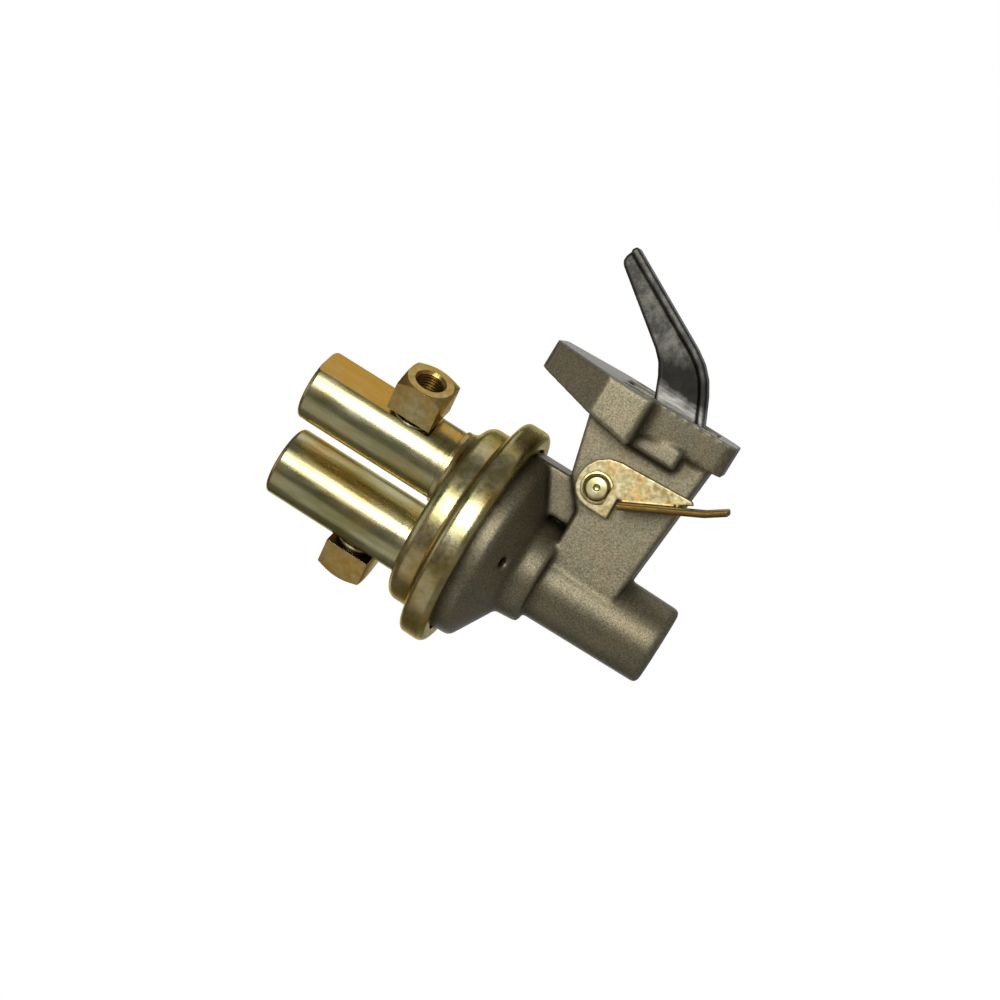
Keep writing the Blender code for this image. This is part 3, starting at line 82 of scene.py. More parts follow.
class Tone(Enum):
    """Colours of the pump's surfaces, as sRGB hex values."""

    ZINC_GOLD = "#d6cda4"
    ZINC_OLIVE = "#9f9a66"
    ZINC_AMBER = "#c89432"
    # painted shade in the plating's corners and grooves
    ZINC_PAINTED_SHADE = "#2c2412"
    # rubbed edges, which are partly a painted edge highlight
    ZINC_PALE = "#e6dfc4"
    LEVER_TAN = "#c8bd95"
    LEVER_BROWN = "#8a7b50"
    IRON_BROWN = "#8d7f63"
    IRON_GREEN = "#7c7862"
    # dark grain specks, and the painted shade in the casting's inner corners
    IRON_DARK = "#2f2a1f"
    # grain sparkle, and worn edges that are partly a painted edge highlight
    IRON_EDGE = "#c2b798"
    IRON_MILLED = "#b5b2a6"
    FORGED_DARK = "#3c3b36"
    FORGED_GREY = "#6f6d64"
    FORGED_BURNT = "#1c1a17"
    BARE_STEEL = "#b9b7b0"
    OILED_STEEL = "#7f7d78"
    BRONZE = "#b48a55"
    BRASS = "#c8a45c"
    BLACK_RUBBER = "#141414"
    BROWN_CLOTH = "#3a2c22"
    FLOOR_PAINT = "#6a6a68"


def linear(tone: Tone) -> tuple[float, float, float, float]:
    """Turns a tone's sRGB hex value into linear red, green, blue and alpha.

    Args:
        tone: The colour to turn.

    Returns:
        Four numbers for a colour socket.
    """
    code = tone.value.lstrip("#")
    parts = [int(code[i : i + 2], 16) / 255 for i in (0, 2, 4)]
    made = [p / 12.92 if p <= 0.04045 else ((p + 0.055) / 1.055) ** 2.4 for p in parts]
    return (made[0], made[1], made[2], 1.0)


def per(size: float) -> float:
    """The texture scale at which a pattern's features are this many metres across."""
    return 1.0 / size


class Kind(Enum):
    """Shader nodes: the end of the type's name and the output that is read."""

    PLACE = ("TexCoord", "Object")
    STRETCH = ("Mapping", "Vector")
    SPLIT = ("SeparateXYZ", "X")
    NOISE = ("TexNoise", "Fac")
    WAVE = ("TexWave", "Fac")
    PAINTED = ("Attribute", "Fac")
    SPAN = ("MapRange", "Result")
    MIX = ("Mix", 2)
    MATH = ("Math", "Value")
    BUMP = ("Bump", "Normal")
    RAY = ("LightPath", "Is Camera Ray")


def feed(tree: Tree, node: bpy.types.Node, inputs: Inputs) -> None:
    """Sets a node's inputs.

    Args:
        tree: The node's tree.
        node: The node.
        inputs: Values, tones or output sockets, by the input's name or number, or in order.
    """
    for key, value in inputs.items() if isinstance(inputs, dict) else enumerate(inputs):
        if isinstance(value, Socket):
            tree.links.new(value, node.inputs[key])
        else:
            node.inputs[key].default_value = linear(value) if isinstance(value, Tone) else value


def add_node(tree: Tree, kind: Kind, inputs: Inputs | None = None, **settings: object) -> Socket:
    """Adds a shader node with its settings and links.

    Args:
        tree: The node tree that it goes into.
        kind: What it does. A SPAN takes a value, its two ends and what these become.
        inputs: What feed takes.
        **settings: Properties of the node itself.

    Returns:
        The output that is read from this kind.
    """
    name, output = kind.value
    node = tree.nodes.new(f"ShaderNode{name}")
    for key, value in settings.items():
        setattr(node, key, value)
    feed(tree, node, inputs or {})
    return node.outputs[output]


def coat(
    tree: Tree, level: Socket, span: Sequence[float], below: Tone | Socket, tone: Tone
) -> Socket:
    """Lays a tone over a colour where a level is high.

    Args:
        tree: The node tree.
        level: The level.
        span: Its two ends, and if not 0 and 1, how much of the tone shows at either.
        below: The colour under it.
        tone: The tone on top.

    Returns:
        The colour.
    """
    share = add_node(tree, Kind.SPAN, [level, *span])
    return add_node(tree, Kind.MIX, {0: share, 6: below, 7: tone}, data_type="RGBA")


def empty_material(name: str) -> tuple[Material, Tree, bpy.types.Node]:
    """Makes a material that holds one Principled shader.

    Args:
        name: The material's name.

    Returns:
        The material, its node tree and the shader.
    """
    made = bpy.data.materials.new(name)
    made.use_nodes = True
    return made, made.node_tree, made.node_tree.nodes["Principled BSDF"]


@dataclass(frozen=True)
class YellowZinc:
    """Zinc under a yellow chromate: glossy, olive and gold, with amber where the bath ran off."""

    name: str
    gold: Tone = Tone.ZINC_GOLD
    olive: Tone = Tone.ZINC_OLIVE
    amber: Tone = Tone.ZINC_AMBER
    roughness: float = 0.25
    cloud: float = 9 * MM
    run: float = 26 * MM
    mottle: float = 2.2 * MM
    pebble: float = 0.7 * MM
    pebble_depth: float = 0.012 * MM
    stretch: float = 1.0
    amber_share: float = 0.25
    pooling: float = 0.5

    def material(self) -> Material:
        """Builds the plating. Clouds and runs are chromate, pebbles are the drawn steel's skin."""
        made, tree, shader = empty_material(self.name)
        place = add_node(tree, Kind.PLACE)
        drawn = add_node(tree, Kind.STRETCH, {"Vector": place, "Scale": (1.0, 1.0, self.stretch)})
        clouds = {"Vector": drawn, "Scale": per(self.cloud), "Detail": 5.0, "Roughness": 0.6}
        cloud = add_node(tree, Kind.NOISE, clouds)
        plated = coat(tree, cloud, (0.36, 0.66), self.olive, self.gold)
        # Painted shade: hollow is the inner-corner level and sheared is the lever's dark tab. Both
        # push amber into these places.
        corner = add_node(tree, Kind.PAINTED, attribute_name="hollow")
        sheared = add_node(tree, Kind.PAINTED, attribute_name="sheared")
        hollow = add_node(tree, Kind.MATH, [corner, sheared], operation="MAXIMUM")
        runs = {"Vector": place, "Scale": per(self.run), "Detail": 6.0, "Roughness": 0.65}
        creases = [hollow, self.pooling, add_node(tree, Kind.NOISE, runs)]
        creased = add_node(tree, Kind.MATH, creases, operation="MULTIPLY_ADD")
        drained = add_node(tree, Kind.PAINTED, attribute_name="stain")
        pools = [drained, self.pooling, creased]
        pooled = add_node(tree, Kind.MATH, pools, operation="MULTIPLY_ADD")
        stain = (0.72 - self.amber_share, 0.98 - self.amber_share * 0.5, 0.0, 0.85)
        tinted = coat(tree, pooled, stain, plated, self.amber)
        # Painted shade over the plating where the hollow level is high.
        painted_shade = coat(tree, hollow, (0.25, 1.0, 0.0, 0.85), tinted, Tone.ZINC_PAINTED_SHADE)
        # The rim level lightens outer edges towards ZINC_PALE: wear, and partly a painted edge
        # highlight.
        rim = add_node(tree, Kind.PAINTED, attribute_name="rim")
        mottle = {"Vector": drawn, "Scale": per(self.mottle), "Detail": 3.0}
        dull = (0.3, 0.7, self.roughness * 0.85, self.roughness * 1.3)
        pebble = {"Vector": drawn, "Scale": per(self.pebble), "Detail": 2.0}
        height = {"Height": add_node(tree, Kind.NOISE, pebble), "Distance": self.pebble_depth}
        skin = {
            "Base Color": coat(tree, rim, (0.3, 0.9, 0.0, 0.6), painted_shade, Tone.ZINC_PALE),
            "Roughness": add_node(tree, Kind.SPAN, [add_node(tree, Kind.NOISE, mottle), *dull]),
            "Normal": add_node(tree, Kind.BUMP, height | {"Strength": 1.0}),
            "Metallic": 1.0,
            "Specular Tint": self.gold,
        }
        feed(tree, shader, skin)
        return made


@dataclass(frozen=True)
class BlastedIron:
    """Sand cast iron, shot blasted and dipped: a dull brown grey with a coarse sparkling grain."""

    name: str
    brown: Tone = Tone.IRON_BROWN
    green: Tone = Tone.IRON_GREEN
    roughness: float = 0.46
    metallic: float = 0.85
    blotch: float = 15 * MM
    grain: float = 0.8 * MM
    grain_depth: float = 0.07 * MM
    grain_share: float = 0.42
    face_depth: float = 1.1 * MM

    def material(self) -> Material:
        """Builds the blasted skin. The grain is the shot's dents, drawn coarse enough to show."""
        made, tree, shader = empty_material(self.name)
        place = add_node(tree, Kind.PLACE)
        blotches = {"Vector": place, "Scale": per(self.blotch), "Detail": 5.0, "Roughness": 0.6}
        blotch = add_node(tree, Kind.NOISE, blotches)
        ground = coat(tree, blotch, (0.38, 0.62), self.brown, self.green)
        grain = {"Vector": place, "Scale": per(self.grain), "Detail": 3.0, "Roughness": 0.65}
        dents = add_node(tree, Kind.NOISE, grain)
        sparkled = coat(tree, dents, (0.3, 0.72), Tone.IRON_DARK, Tone.IRON_EDGE)
        both = {0: self.grain_share, 6: ground, 7: sparkled}
        grained = add_node(tree, Kind.MIX, both, data_type="RGBA")
        # Painted shade: the hollow level darkens inner corners, widely on the casting.
        hollow = add_node(tree, Kind.PAINTED, attribute_name="hollow")
        shaded = coat(tree, hollow, (0.05, 0.9, 0.0, 0.88), grained, Tone.IRON_DARK)
        # Worn edges are lightened, which is partly a painted edge highlight.
        rim = add_node(tree, Kind.PAINTED, attribute_name="rim")
        edged = coat(tree, rim, (0.25, 1.0, 0.0, 0.65), shaded, Tone.IRON_EDGE)
        outward = add_node(tree, Kind.SPLIT, {"Vector": place})
        face = (-self.face_depth, -0.6 * self.face_depth, 0.0, 0.7)
        height = {"Height": dents, "Strength": 1.0, "Distance": self.grain_depth}
        skin = {
            "Base Color": coat(tree, outward, face, edged, Tone.IRON_MILLED),
            "Roughness": self.roughness,
            "Normal": add_node(tree, Kind.BUMP, height),
            "Metallic": self.metallic,
        }
        feed(tree, shader, skin)
        return made


@dataclass(frozen=True)
class ForgedSteel:
    """Hot forged and oiled steel: near black scale with grey rubs, ground bright at the root."""

    name: str
    dark: Tone = Tone.FORGED_DARK
    grey: Tone = Tone.FORGED_GREY
    rub: float = 7 * MM
    streak: float = 0.8 * MM
    dent: float = 0.9 * MM
    dent_depth: float = 0.035 * MM
    ragged: float = 8 * MM
    ground_from: float = 11.5 * MM
    ground_to: float = 7.0 * MM
    burnt_to: float = 27.0 * MM

    def material(self) -> Material:
        """Builds the forged skin. Along X, ground steel turns to burnt scale, then plain scale."""
        made, tree, shader = empty_material(self.name)
        place = add_node(tree, Kind.PLACE)
        rubbed = {"Vector": place, "Scale": per(self.rub), "Detail": 6.0, "Roughness": 0.65}
        rubs = add_node(tree, Kind.NOISE, rubbed)
        scale = coat(tree, rubs, (0.42, 0.68), self.dark, self.grey)
        drawn = add_node(tree, Kind.STRETCH, {"Vector": place, "Scale": (1.0, 0.25, 0.12)})
        streak = {"Vector": drawn, "Scale": per(self.streak), "Detail": 3.0}
        streaks = add_node(tree, Kind.NOISE, streak)
        outward = add_node(tree, Kind.SPLIT, {"Vector": place})
        edge = [rubs, self.ragged, outward]
        along = add_node(tree, Kind.MATH, edge, operation="MULTIPLY_ADD")
        ground = add_node(tree, Kind.SPAN, [along, self.ground_from, self.ground_to, 0.0, 0.8])
        burnt = (self.burnt_to, 0.7 * self.burnt_to, 0.0, 0.92)
        burnt_scale = coat(tree, along, burnt, scale, Tone.FORGED_BURNT)
        streaked = add_node(tree, Kind.MATH, [ground, streaks], operation="MULTIPLY")
        # The rim level adds a little bare steel on the edges: wear, and partly a painted edge
        # highlight.
        rim = add_node(tree, Kind.PAINTED, attribute_name="rim")
        worn = {"operation": "MULTIPLY_ADD", "use_clamp": True}
        bare = add_node(tree, Kind.MATH, [rim, 0.2, streaked], **worn)
        dent = {"Vector": place, "Scale": per(self.dent), "Detail": 3.0}
        relief = [streaks, ground, add_node(tree, Kind.NOISE, dent)]
        height = {"Height": add_node(tree, Kind.MATH, relief, operation="MULTIPLY_ADD")}
        height |= {"Strength": 1.0, "Distance": self.dent_depth}
        steel = {0: bare, 6: burnt_scale, 7: Tone.BARE_STEEL}
        skin = {
            "Base Color": add_node(tree, Kind.MIX, steel, data_type="RGBA"),
            "Roughness": add_node(tree, Kind.SPAN, [bare, 0.0, 1.0, 0.46, 0.26]),
            "Normal": add_node(tree, Kind.BUMP, height),
            "Metallic": 0.9,
        }
        feed(tree, shader, skin)
        return made


@dataclass(frozen=True)
class MachinedMetal:
    """Turned, ground or drawn metal of one colour, with fine marks and a little tarnish."""

    name: str
    tone: Tone
    roughness: float = 0.3
    tarnish: float = 6 * MM
    mark: float = 0.6 * MM
    mark_depth: float = 0.01 * MM

    def material(self) -> Material:
        """Builds the metal. Tarnish clouds change its gloss, and the marks are the tool's."""
        made, tree, shader = empty_material(self.name)
        place = add_node(tree, Kind.PLACE)
        clouds = {"Vector": place, "Scale": per(self.tarnish), "Detail": 4.0}
        dull = (0.35, 0.65, self.roughness * 0.8, self.roughness * 1.3)
        mark = {"Vector": place, "Scale": per(self.mark), "Detail": 2.0}
        height = {"Height": add_node(tree, Kind.NOISE, mark), "Distance": self.mark_depth}
        skin = {
            "Base Color": self.tone,
            "Roughness": add_node(tree, Kind.SPAN, [add_node(tree, Kind.NOISE, clouds), *dull]),
            "Normal": add_node(tree, Kind.BUMP, height | {"Strength": 1.0}),
            "Metallic": 1.0,
        }
        feed(tree, shader, skin)
        return made


@dataclass(frozen=True)
class Elastomer:
    """Moulded nitrile rubber, or rubber on nylon cloth."""

    name: str
    tone: Tone
    bloom: float = 5 * MM
    weave: float = 0.8 * MM
    weave_depth: float = 0.04 * MM

    def material(self) -> Material:
        """Builds the rubber: dull, with a faint bloom, and the threads or mould lines raised."""
        made, tree, shader = empty_material(self.name)
        place = add_node(tree, Kind.PLACE)
        clouds = {"Vector": place, "Scale": per(self.bloom), "Detail": 4.0}
        bloom = add_node(tree, Kind.NOISE, clouds)
        lines = {"Vector": place, "Scale": per(self.weave * 2 * math.pi)}
        height = {"Height": add_node(tree, Kind.WAVE, lines), "Distance": self.weave_depth}
        skin = {
            "Base Color": self.tone,
            "Roughness": add_node(tree, Kind.SPAN, [bloom, 0.0, 1.0, 0.6, 0.85]),
            "Normal": add_node(tree, Kind.BUMP, height | {"Strength": 0.4}),
        }
        feed(tree, shader, skin)
        return made


PLATED = YellowZinc(
    "yellow_zinc_on_drawn_steel", stretch=0.2, pebble=0.5 * MM, pebble_depth=0.006 * MM
)
PLATED_STAMPING = YellowZinc("yellow_zinc_on_stamped_steel", roughness=0.27, amber_share=0.33)
PLATED_BAR = YellowZinc("yellow_zinc_on_milled_bar", roughness=0.3, amber_share=0.24, cloud=4 * MM)
PLATED_LEVER = YellowZinc(
    "yellow_zinc_on_sheared_plate",
    gold=Tone.LEVER_TAN,
    olive=Tone.LEVER_BROWN,
    roughness=0.38,
    cloud=2.4 * MM,
    run=7 * MM,
    pebble_depth=0.03 * MM,
    amber_share=0.2,
)
IRON = BlastedIron("shot_blasted_cast_iron")
FORGED = ForgedSteel("oiled_forged_steel")
SPRING_STEEL = MachinedMetal("oiled_spring_steel", Tone.OILED_STEEL, 0.32)
GROUND_STEEL = MachinedMetal("ground_steel", Tone.BARE_STEEL, 0.24)
TURNED_BRASS = MachinedMetal("turned_brass", Tone.BRASS, 0.28)
PLAIN_BRONZE = MachinedMetal("plain_bronze", Tone.BRONZE, 0.34)
NITRILE = Elastomer("moulded_nitrile_rubber", Tone.BLACK_RUBBER)
CLOTH_RUBBER = Elastomer("rubber_on_nylon_cloth", Tone.BROWN_CLOTH)

Finish = YellowZinc | BlastedIron | ForgedSteel | MachinedMetal | Elastomer


class Wardrobe:
    """Keeps one material for each finish, and puts it on pieces and CAD nodes."""

    def __init__(self) -> None:
        """Starts with no material made."""
        self.made: dict[Finish, Material] = {}

    def dress(self, obj: Object, finish: Finish) -> None:
        """Puts a finish on every slot of an object.

        Args:
            obj: The piece or CAD node.
            finish: What it is made of and how it was treated.
        """
        if finish not in self.made:
            self.made[finish] = finish.material()
        if not obj.material_slots:
            obj.data.materials.append(self.made[finish])
        for slot in obj.material_slots:
            slot.material = self.made[finish]


def bare_object(name: str, bm: bmesh.types.BMesh) -> Object:
    """Turns a bmesh into an object at the origin, and frees it.

    Args:
        name: The object's name.
        bm: Its shape.

    Returns:
        The linked object.
    """
    mesh = bpy.data.meshes.new(name)
    bm.to_mesh(mesh)
    bm.free()
    obj = bpy.data.objects.new(name, mesh)
    bpy.context.scene.collection.objects.link(obj)
    return obj


def settle(obj: Object) -> None:
    """Applies an object's modifiers to its mesh."""
    graph = bpy.context.evaluated_depsgraph_get()
    mesh = bpy.data.meshes.new_from_object(obj.evaluated_get(graph))
    obj.modifiers.clear()
    obj.data = mesh


def soften_shading(obj: Object, sharp_from: float = 28.0) -> None:
    """Shades an object smooth.

    Args:
        obj: The object.
        sharp_from: The turn in degrees from which an edge stays sharp.
    """
    mesh = obj.data
    mesh.polygons.foreach_set("use_smooth", np.ones(len(mesh.polygons), bool))
    mesh.set_sharp_from_angle(angle=math.radians(sharp_from))


def combine(body: Object, operation: str, *tools: Object) -> None:
    """Runs exact Booleans on a body and removes the tools.

    Args:
        body: The object that is changed.
        operation: DIFFERENCE, UNION or INTERSECT.
        *tools: The other objects.
    """
    for tool in tools:
        step = body.modifiers.new(tool.name, "BOOLEAN")
        step.operation = operation
        step.solver = "EXACT"
        step.object = tool
    settle(body)
    for tool in tools:
        bpy.data.objects.remove(tool)


def fused(
    name: str, bodies: Sequence[Object], voxel: float, rounds: int, shade_spread: int = 2
) -> Object:
    """Fuses overlapping closed bodies into one skin whose edges and inner corners are rounded.

    Args:
        name: The new piece's name.
        bodies: The bodies, which are removed.
        voxel: The width of the skin's faces.
        rounds: How many times it is smoothed.
        shade_spread: How far the painted shade spreads out of its inner corners.

    Returns:
        The fused piece.
    """
    joined = bmesh.new()
    for body in bodies:
        joined.from_mesh(body.data)
        bpy.data.objects.remove(body)
    piece = bare_object(name, joined)
    skin = piece.modifiers.new("skin", "REMESH")
    skin.mode = "VOXEL"
    skin.voxel_size = voxel
    calm = piece.modifiers.new("calm", "SMOOTH")
    calm.factor = 0.5
    calm.iterations = rounds
    settle(piece)
    mark_edges(piece, shade_spread)
    soften_shading(piece, 180.0)
    return piece


def mark_edges(obj: Object, shade_spread: int, turn: float = 0.22, spread: int = 3) -> None:
    """Stores on each point how much of an outer edge, rim, or inner corner, hollow, it is.

    Args:
        obj: A piece with faces of about one size.
        shade_spread: How many rounds the hollow, which is painted shade, spreads for.
        turn: The bend at which either reaches one.
        spread: How many rounds the rim spreads for.
    """
    mesh = obj.data
    count = len(mesh.vertices)
    places = np.empty(count * 3, np.float32)
    mesh.vertices.foreach_get("co", places)
    places = places.reshape(-1, 3)
    normals = np.empty(count * 3, np.float32)
    mesh.vertex_normals.foreach_get("vector", normals)
    normals = normals.reshape(-1, 3)
    ends = np.empty(len(mesh.edges) * 2, np.int32)
    mesh.edges.foreach_get("vertices", ends)
    first, second = ends.reshape(-1, 2).T
    reach = places[second] - places[first]
    reach /= np.maximum(np.linalg.norm(reach, axis=1, keepdims=True), 1e-9)
    degree = np.bincount(ends, minlength=count).clip(1)
    rise = np.bincount(first, (reach * normals[first]).sum(1), count)
    rise -= np.bincount(second, (reach * normals[second]).sum(1), count)
    bend = rise / degree
    # The hollow level is painted shade in inner corners. The rim level lightens outer edges as wear
    # and as a painted edge highlight.
    for name, value, rounds in (("rim", -bend, spread), ("hollow", bend, shade_spread)):
        level = (value / turn).clip(0, 1)
        for _ in range(rounds):
            around = np.bincount(first, level[second], count)
            around = around + np.bincount(second, level[first], count)
            level = 0.4 * level + 0.6 * around / degree
        layer = mesh.attributes.new(name, "FLOAT", "POINT")
        level *= max(1.0, math.sqrt(rounds / 4))
        layer.data.foreach_set("value", level.clip(0, 1).astype(np.float32))


def paint_faces(
    obj: Object, name: str, level: Callable[[Vector, Vector], float], place: Matrix
) -> None:
    """Stores a level on each face of a piece, for its finish to read.

    Args:
        obj: The piece.
        name: The attribute's name.
        level: Gives it from the face's middle and normal in the place's own axes.
        place: Where those axes stand.
    """
    into = place.inverted()
    turn = into.to_3x3()
    layer = obj.data.attributes.new(name, "FLOAT", "FACE")
    for face, mark in zip(obj.data.polygons, layer.data):
        mark.value = level(into @ face.center, turn @ face.normal)


def welded_copy(node: str) -> Object:
    """A copy of a CAD node with its loose triangles joined.

    Args:
        node: The node's name.

    Returns:
        The copy.
    """
    bm = bmesh.new()
    bm.from_mesh(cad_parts[node].data)
    bmesh.ops.remove_doubles(bm, verts=bm.verts, dist=0.001 * MM)
    return bare_object(f"{node}_copy", bm)


def outline_of(corners: Sequence[Corner], closed: bool) -> bmesh.types.BMesh:
    """A wire through corners, each rounded by its radius.

    Args:
        corners: Two coordinates and a radius each. The wire lies in X and Z.
        closed: Whether the last corner joins the first.

    Returns:
        The wire.
    """
    bm = bmesh.new()
    points = [bm.verts.new((x, 0, z)) for x, z, _ in corners]
    count = len(points)
    for i in range(count if closed else count - 1):
        bm.edges.new((points[i], points[(i + 1) % count]))
    places = [Vector((x, z)) for x, z, _ in corners]
    for i, (_, _, radius) in enumerate(corners):
        if not radius:
            continue
        before = places[i - 1] - places[i]
        after = places[(i + 1) % count] - places[i]
        turn = math.pi - before.angle(after)
        bmesh.ops.bevel(
            bm,
            geom=[points[i]],
            offset=radius * math.tan(turn / 2),
            offset_type="OFFSET",
            segments=max(2, round(math.degrees(turn) / ARC_STEP)),
            profile=0.5,
            affect="VERTICES",
            material=-1,
            clamp_overlap=True,
        )
    return bm


def turned(
    name: str,
    corners: Sequence[Corner],
    place: Matrix,
    steps: int = 144,
    closed: bool = False,
) -> Object:
    """A turned body.

    Args:
        name: Its name.
        corners: Its half section as radius, height and rounding radius.
        place: Where its axis, local Z, stands.
        steps: How many steps go round.
        closed: Whether the section is a ring's, clear of the axis.

    Returns:
        The body.
    """
    bm = outline_of(corners, closed)
    bmesh.ops.spin(
        bm,
        geom=bm.verts[:] + bm.edges[:],
        cent=(0, 0, 0),
        axis=(0, 0, 1),
        dvec=(0, 0, 0),
        angle=2 * math.pi,
        steps=steps,
        use_merge=True,
        use_duplicate=False,
    )
    bmesh.ops.remove_doubles(bm, verts=bm.verts, dist=0.002 * MM)
    bmesh.ops.transform(bm, matrix=place, verts=bm.verts)
    bmesh.ops.recalc_face_normals(bm, faces=bm.faces)
    return bare_object(name, bm)


def round_bar(radius: float, low: float, high: float) -> list[Corner]:
    """The half section of a plain round bar between two heights, for a drill."""
    return [(0, low, 0), (radius, low, 0), (radius, high, 0), (0, high, 0)]


def brick(name: str, low: Place, high: Place, place: Matrix, edge: float = 0.0) -> Object:
    """A block between two corners.

    Args:
        name: Its name.
        low: Its lowest corner.
        high: Its highest corner.
        place: The matrix that carries it.
        edge: The width that its edges are bevelled by.

    Returns:
        The block.
    """
    bm = bmesh.new()
    size = Vector(high) - Vector(low)
    middle = (Vector(high) + Vector(low)) / 2
    block = Matrix.Translation(middle) @ Matrix.Diagonal((*size, 1))
    bmesh.ops.create_cube(bm, size=1.0, matrix=block)
    if edge:
        bmesh.ops.bevel(
            bm,
            geom=bm.edges[:],
            offset=edge,
            offset_type="OFFSET",
            segments=3,
            profile=0.5,
            affect="EDGES",
            material=-1,
        )
    bmesh.ops.transform(bm, matrix=place, verts=bm.verts)
    return bare_object(name, bm)


def soften_edges(obj: Object, width: float, from_angle: float = 29.0) -> None:
    """Rounds a piece's edges.

    Args:
        obj: The piece.
        width: How far from the edge the round starts.
        from_angle: The turn in degrees from which an edge is rounded.
    """
    step = obj.modifiers.new("edges", "BEVEL")
    step.width = width
    step.segments = 3
    step.limit_method = "ANGLE"
    step.angle_limit = math.radians(from_angle)
    step.use_clamp_overlap = True
    step.harden_normals = False
    settle(obj)


@dataclass
class PumpAxes:
    """Where the pump's own axes stand, with the sizes that more than one sub-assembly uses."""

    reach: float = 88.0 * MM
    valve_line_turn: float = math.radians(-30)
    canister_offset: float = 22.0 * MM
    dome_top: float = 24.5 * MM
    dome_radius: float = 41.8 * MM
    neck_top: float = 28.7 * MM
    canister_radius: float = 15.75 * MM
    port_height: float = 50.5 * MM
    shaft: Vector = field(default_factory=lambda: Vector((45.4 * MM, 0, -29.7 * MM)))

    @property
    def pump(self) -> Matrix:
        """The upright axis of the pump."""
        return Matrix.Translation((-self.reach, 0, 0))

    def outwards(self, side: int) -> Matrix:
        """The pump's axis, its local X turned towards a canister."""
        turn = self.valve_line_turn + (math.pi if side < 0 else 0)
        return self.pump @ Matrix.Rotation(turn, 4, "Z")

    def canister(self, side: int) -> Matrix:
        """The upright axis of a canister, its local X pointing outwards."""
        return self.outwards(side) @ Matrix.Translation((self.canister_offset, 0, 0))

    def port(self, side: int) -> Matrix:
        """The port's axis: local Z points out of its mouth, its origin is on the pump's axis."""
        height = Matrix.Translation((0, 0, self.port_height))
        return self.outwards(side) @ height @ QUARTER_Y


@dataclass
class Cover:
    """The stamped cover: rolled rim, domed top and two drawn necks."""

    axes: PumpAxes
    sheet: float = 1.6 * MM
    rim_radius: float = 51.2 * MM
    rim_top: float = 12.1 * MM
    lip_radius: float = 44.2 * MM
    shoulder: float = 5.0 * MM
    neck_wall: float = 0.8 * MM
    voxel: float = 0.66 * MM

    def section(self) -> list[Corner]:
        """The cover's closed half section, the dome's hollow included."""
        axes = self.axes
        inside = axes.dome_radius - self.sheet
        groove = self.rim_top + 0.8 * MM
        rim_inside = self.rim_radius - self.sheet
        return [
            (0, axes.dome_top, 0),
            (axes.dome_radius, axes.dome_top, self.shoulder),
            (axes.dome_radius, groove, 1.2 * MM),
            (self.rim_radius, self.rim_top - 0.9 * MM, 2.6 * MM),
            (self.rim_radius, 0, 3.0 * MM),
            (self.lip_radius, 0, 0),
            (self.lip_radius, self.sheet, 0),
            (rim_inside, self.sheet, 0),
            (rim_inside, self.rim_top - self.sheet, 0),
            (inside, self.rim_top - self.sheet, 0),
            (inside, axes.dome_top - self.sheet, self.shoulder - self.sheet),
            (0, axes.dome_top - self.sheet, 0),
        ]

    def build(self) -> Object:
        """Builds the cover in one skin, with the two necks' collars."""
        axes = self.axes
        bore = axes.canister_radius + 0.2 * MM
        flare_foot = axes.dome_radius - axes.canister_offset - 0.1 * MM
        foot = axes.dome_top - self.shoulder
        seam = axes.dome_top + 2.0 * MM
        bodies = [turned("cover_shell", self.section(), axes.pump, 180)]
        collars = []
        for side in (-1, 1):
            place = axes.canister(side)
            flare = [
                (bore - self.sheet, foot, 0),
                (flare_foot, foot, 0),
                (bore + self.neck_wall, seam, 3.4 * MM),
                (bore + self.neck_wall, seam + 0.6 * MM, 0),
                (bore - self.sheet, seam + 0.6 * MM, 0),
            ]
            bodies.append(turned(f"flare_{side}", flare, place, closed=True))
            collar = [
                (bore, axes.neck_top, 0),
                (bore + self.neck_wall, axes.neck_top, 0.35 * MM),
                (bore + self.neck_wall, seam - 0.6 * MM, 0),
                (bore, seam - 0.6 * MM, 0),
            ]
            collars.append(turned(f"collar_{side}", collar, place, closed=True))
        # The hollow level spreads a little: painted shade in the groove between dome and rim.
        cover = fused("cover_skin", bodies, self.voxel, 3, shade_spread=5)
        for side in (-1, 1):
            drill = round_bar(bore, axes.neck_top, foot - 4 * MM)
            combine(cover, "DIFFERENCE", turned("neck_hole", drill, axes.canister(side)))
        joined = bmesh.new()
        joined.from_mesh(cover.data)
        for collar in collars:
            joined.from_mesh(collar.data)
            bpy.data.objects.remove(collar)
        joined.to_mesh(cover.data)
        joined.free()
        soften_shading(cover, 40.0)
        return cover


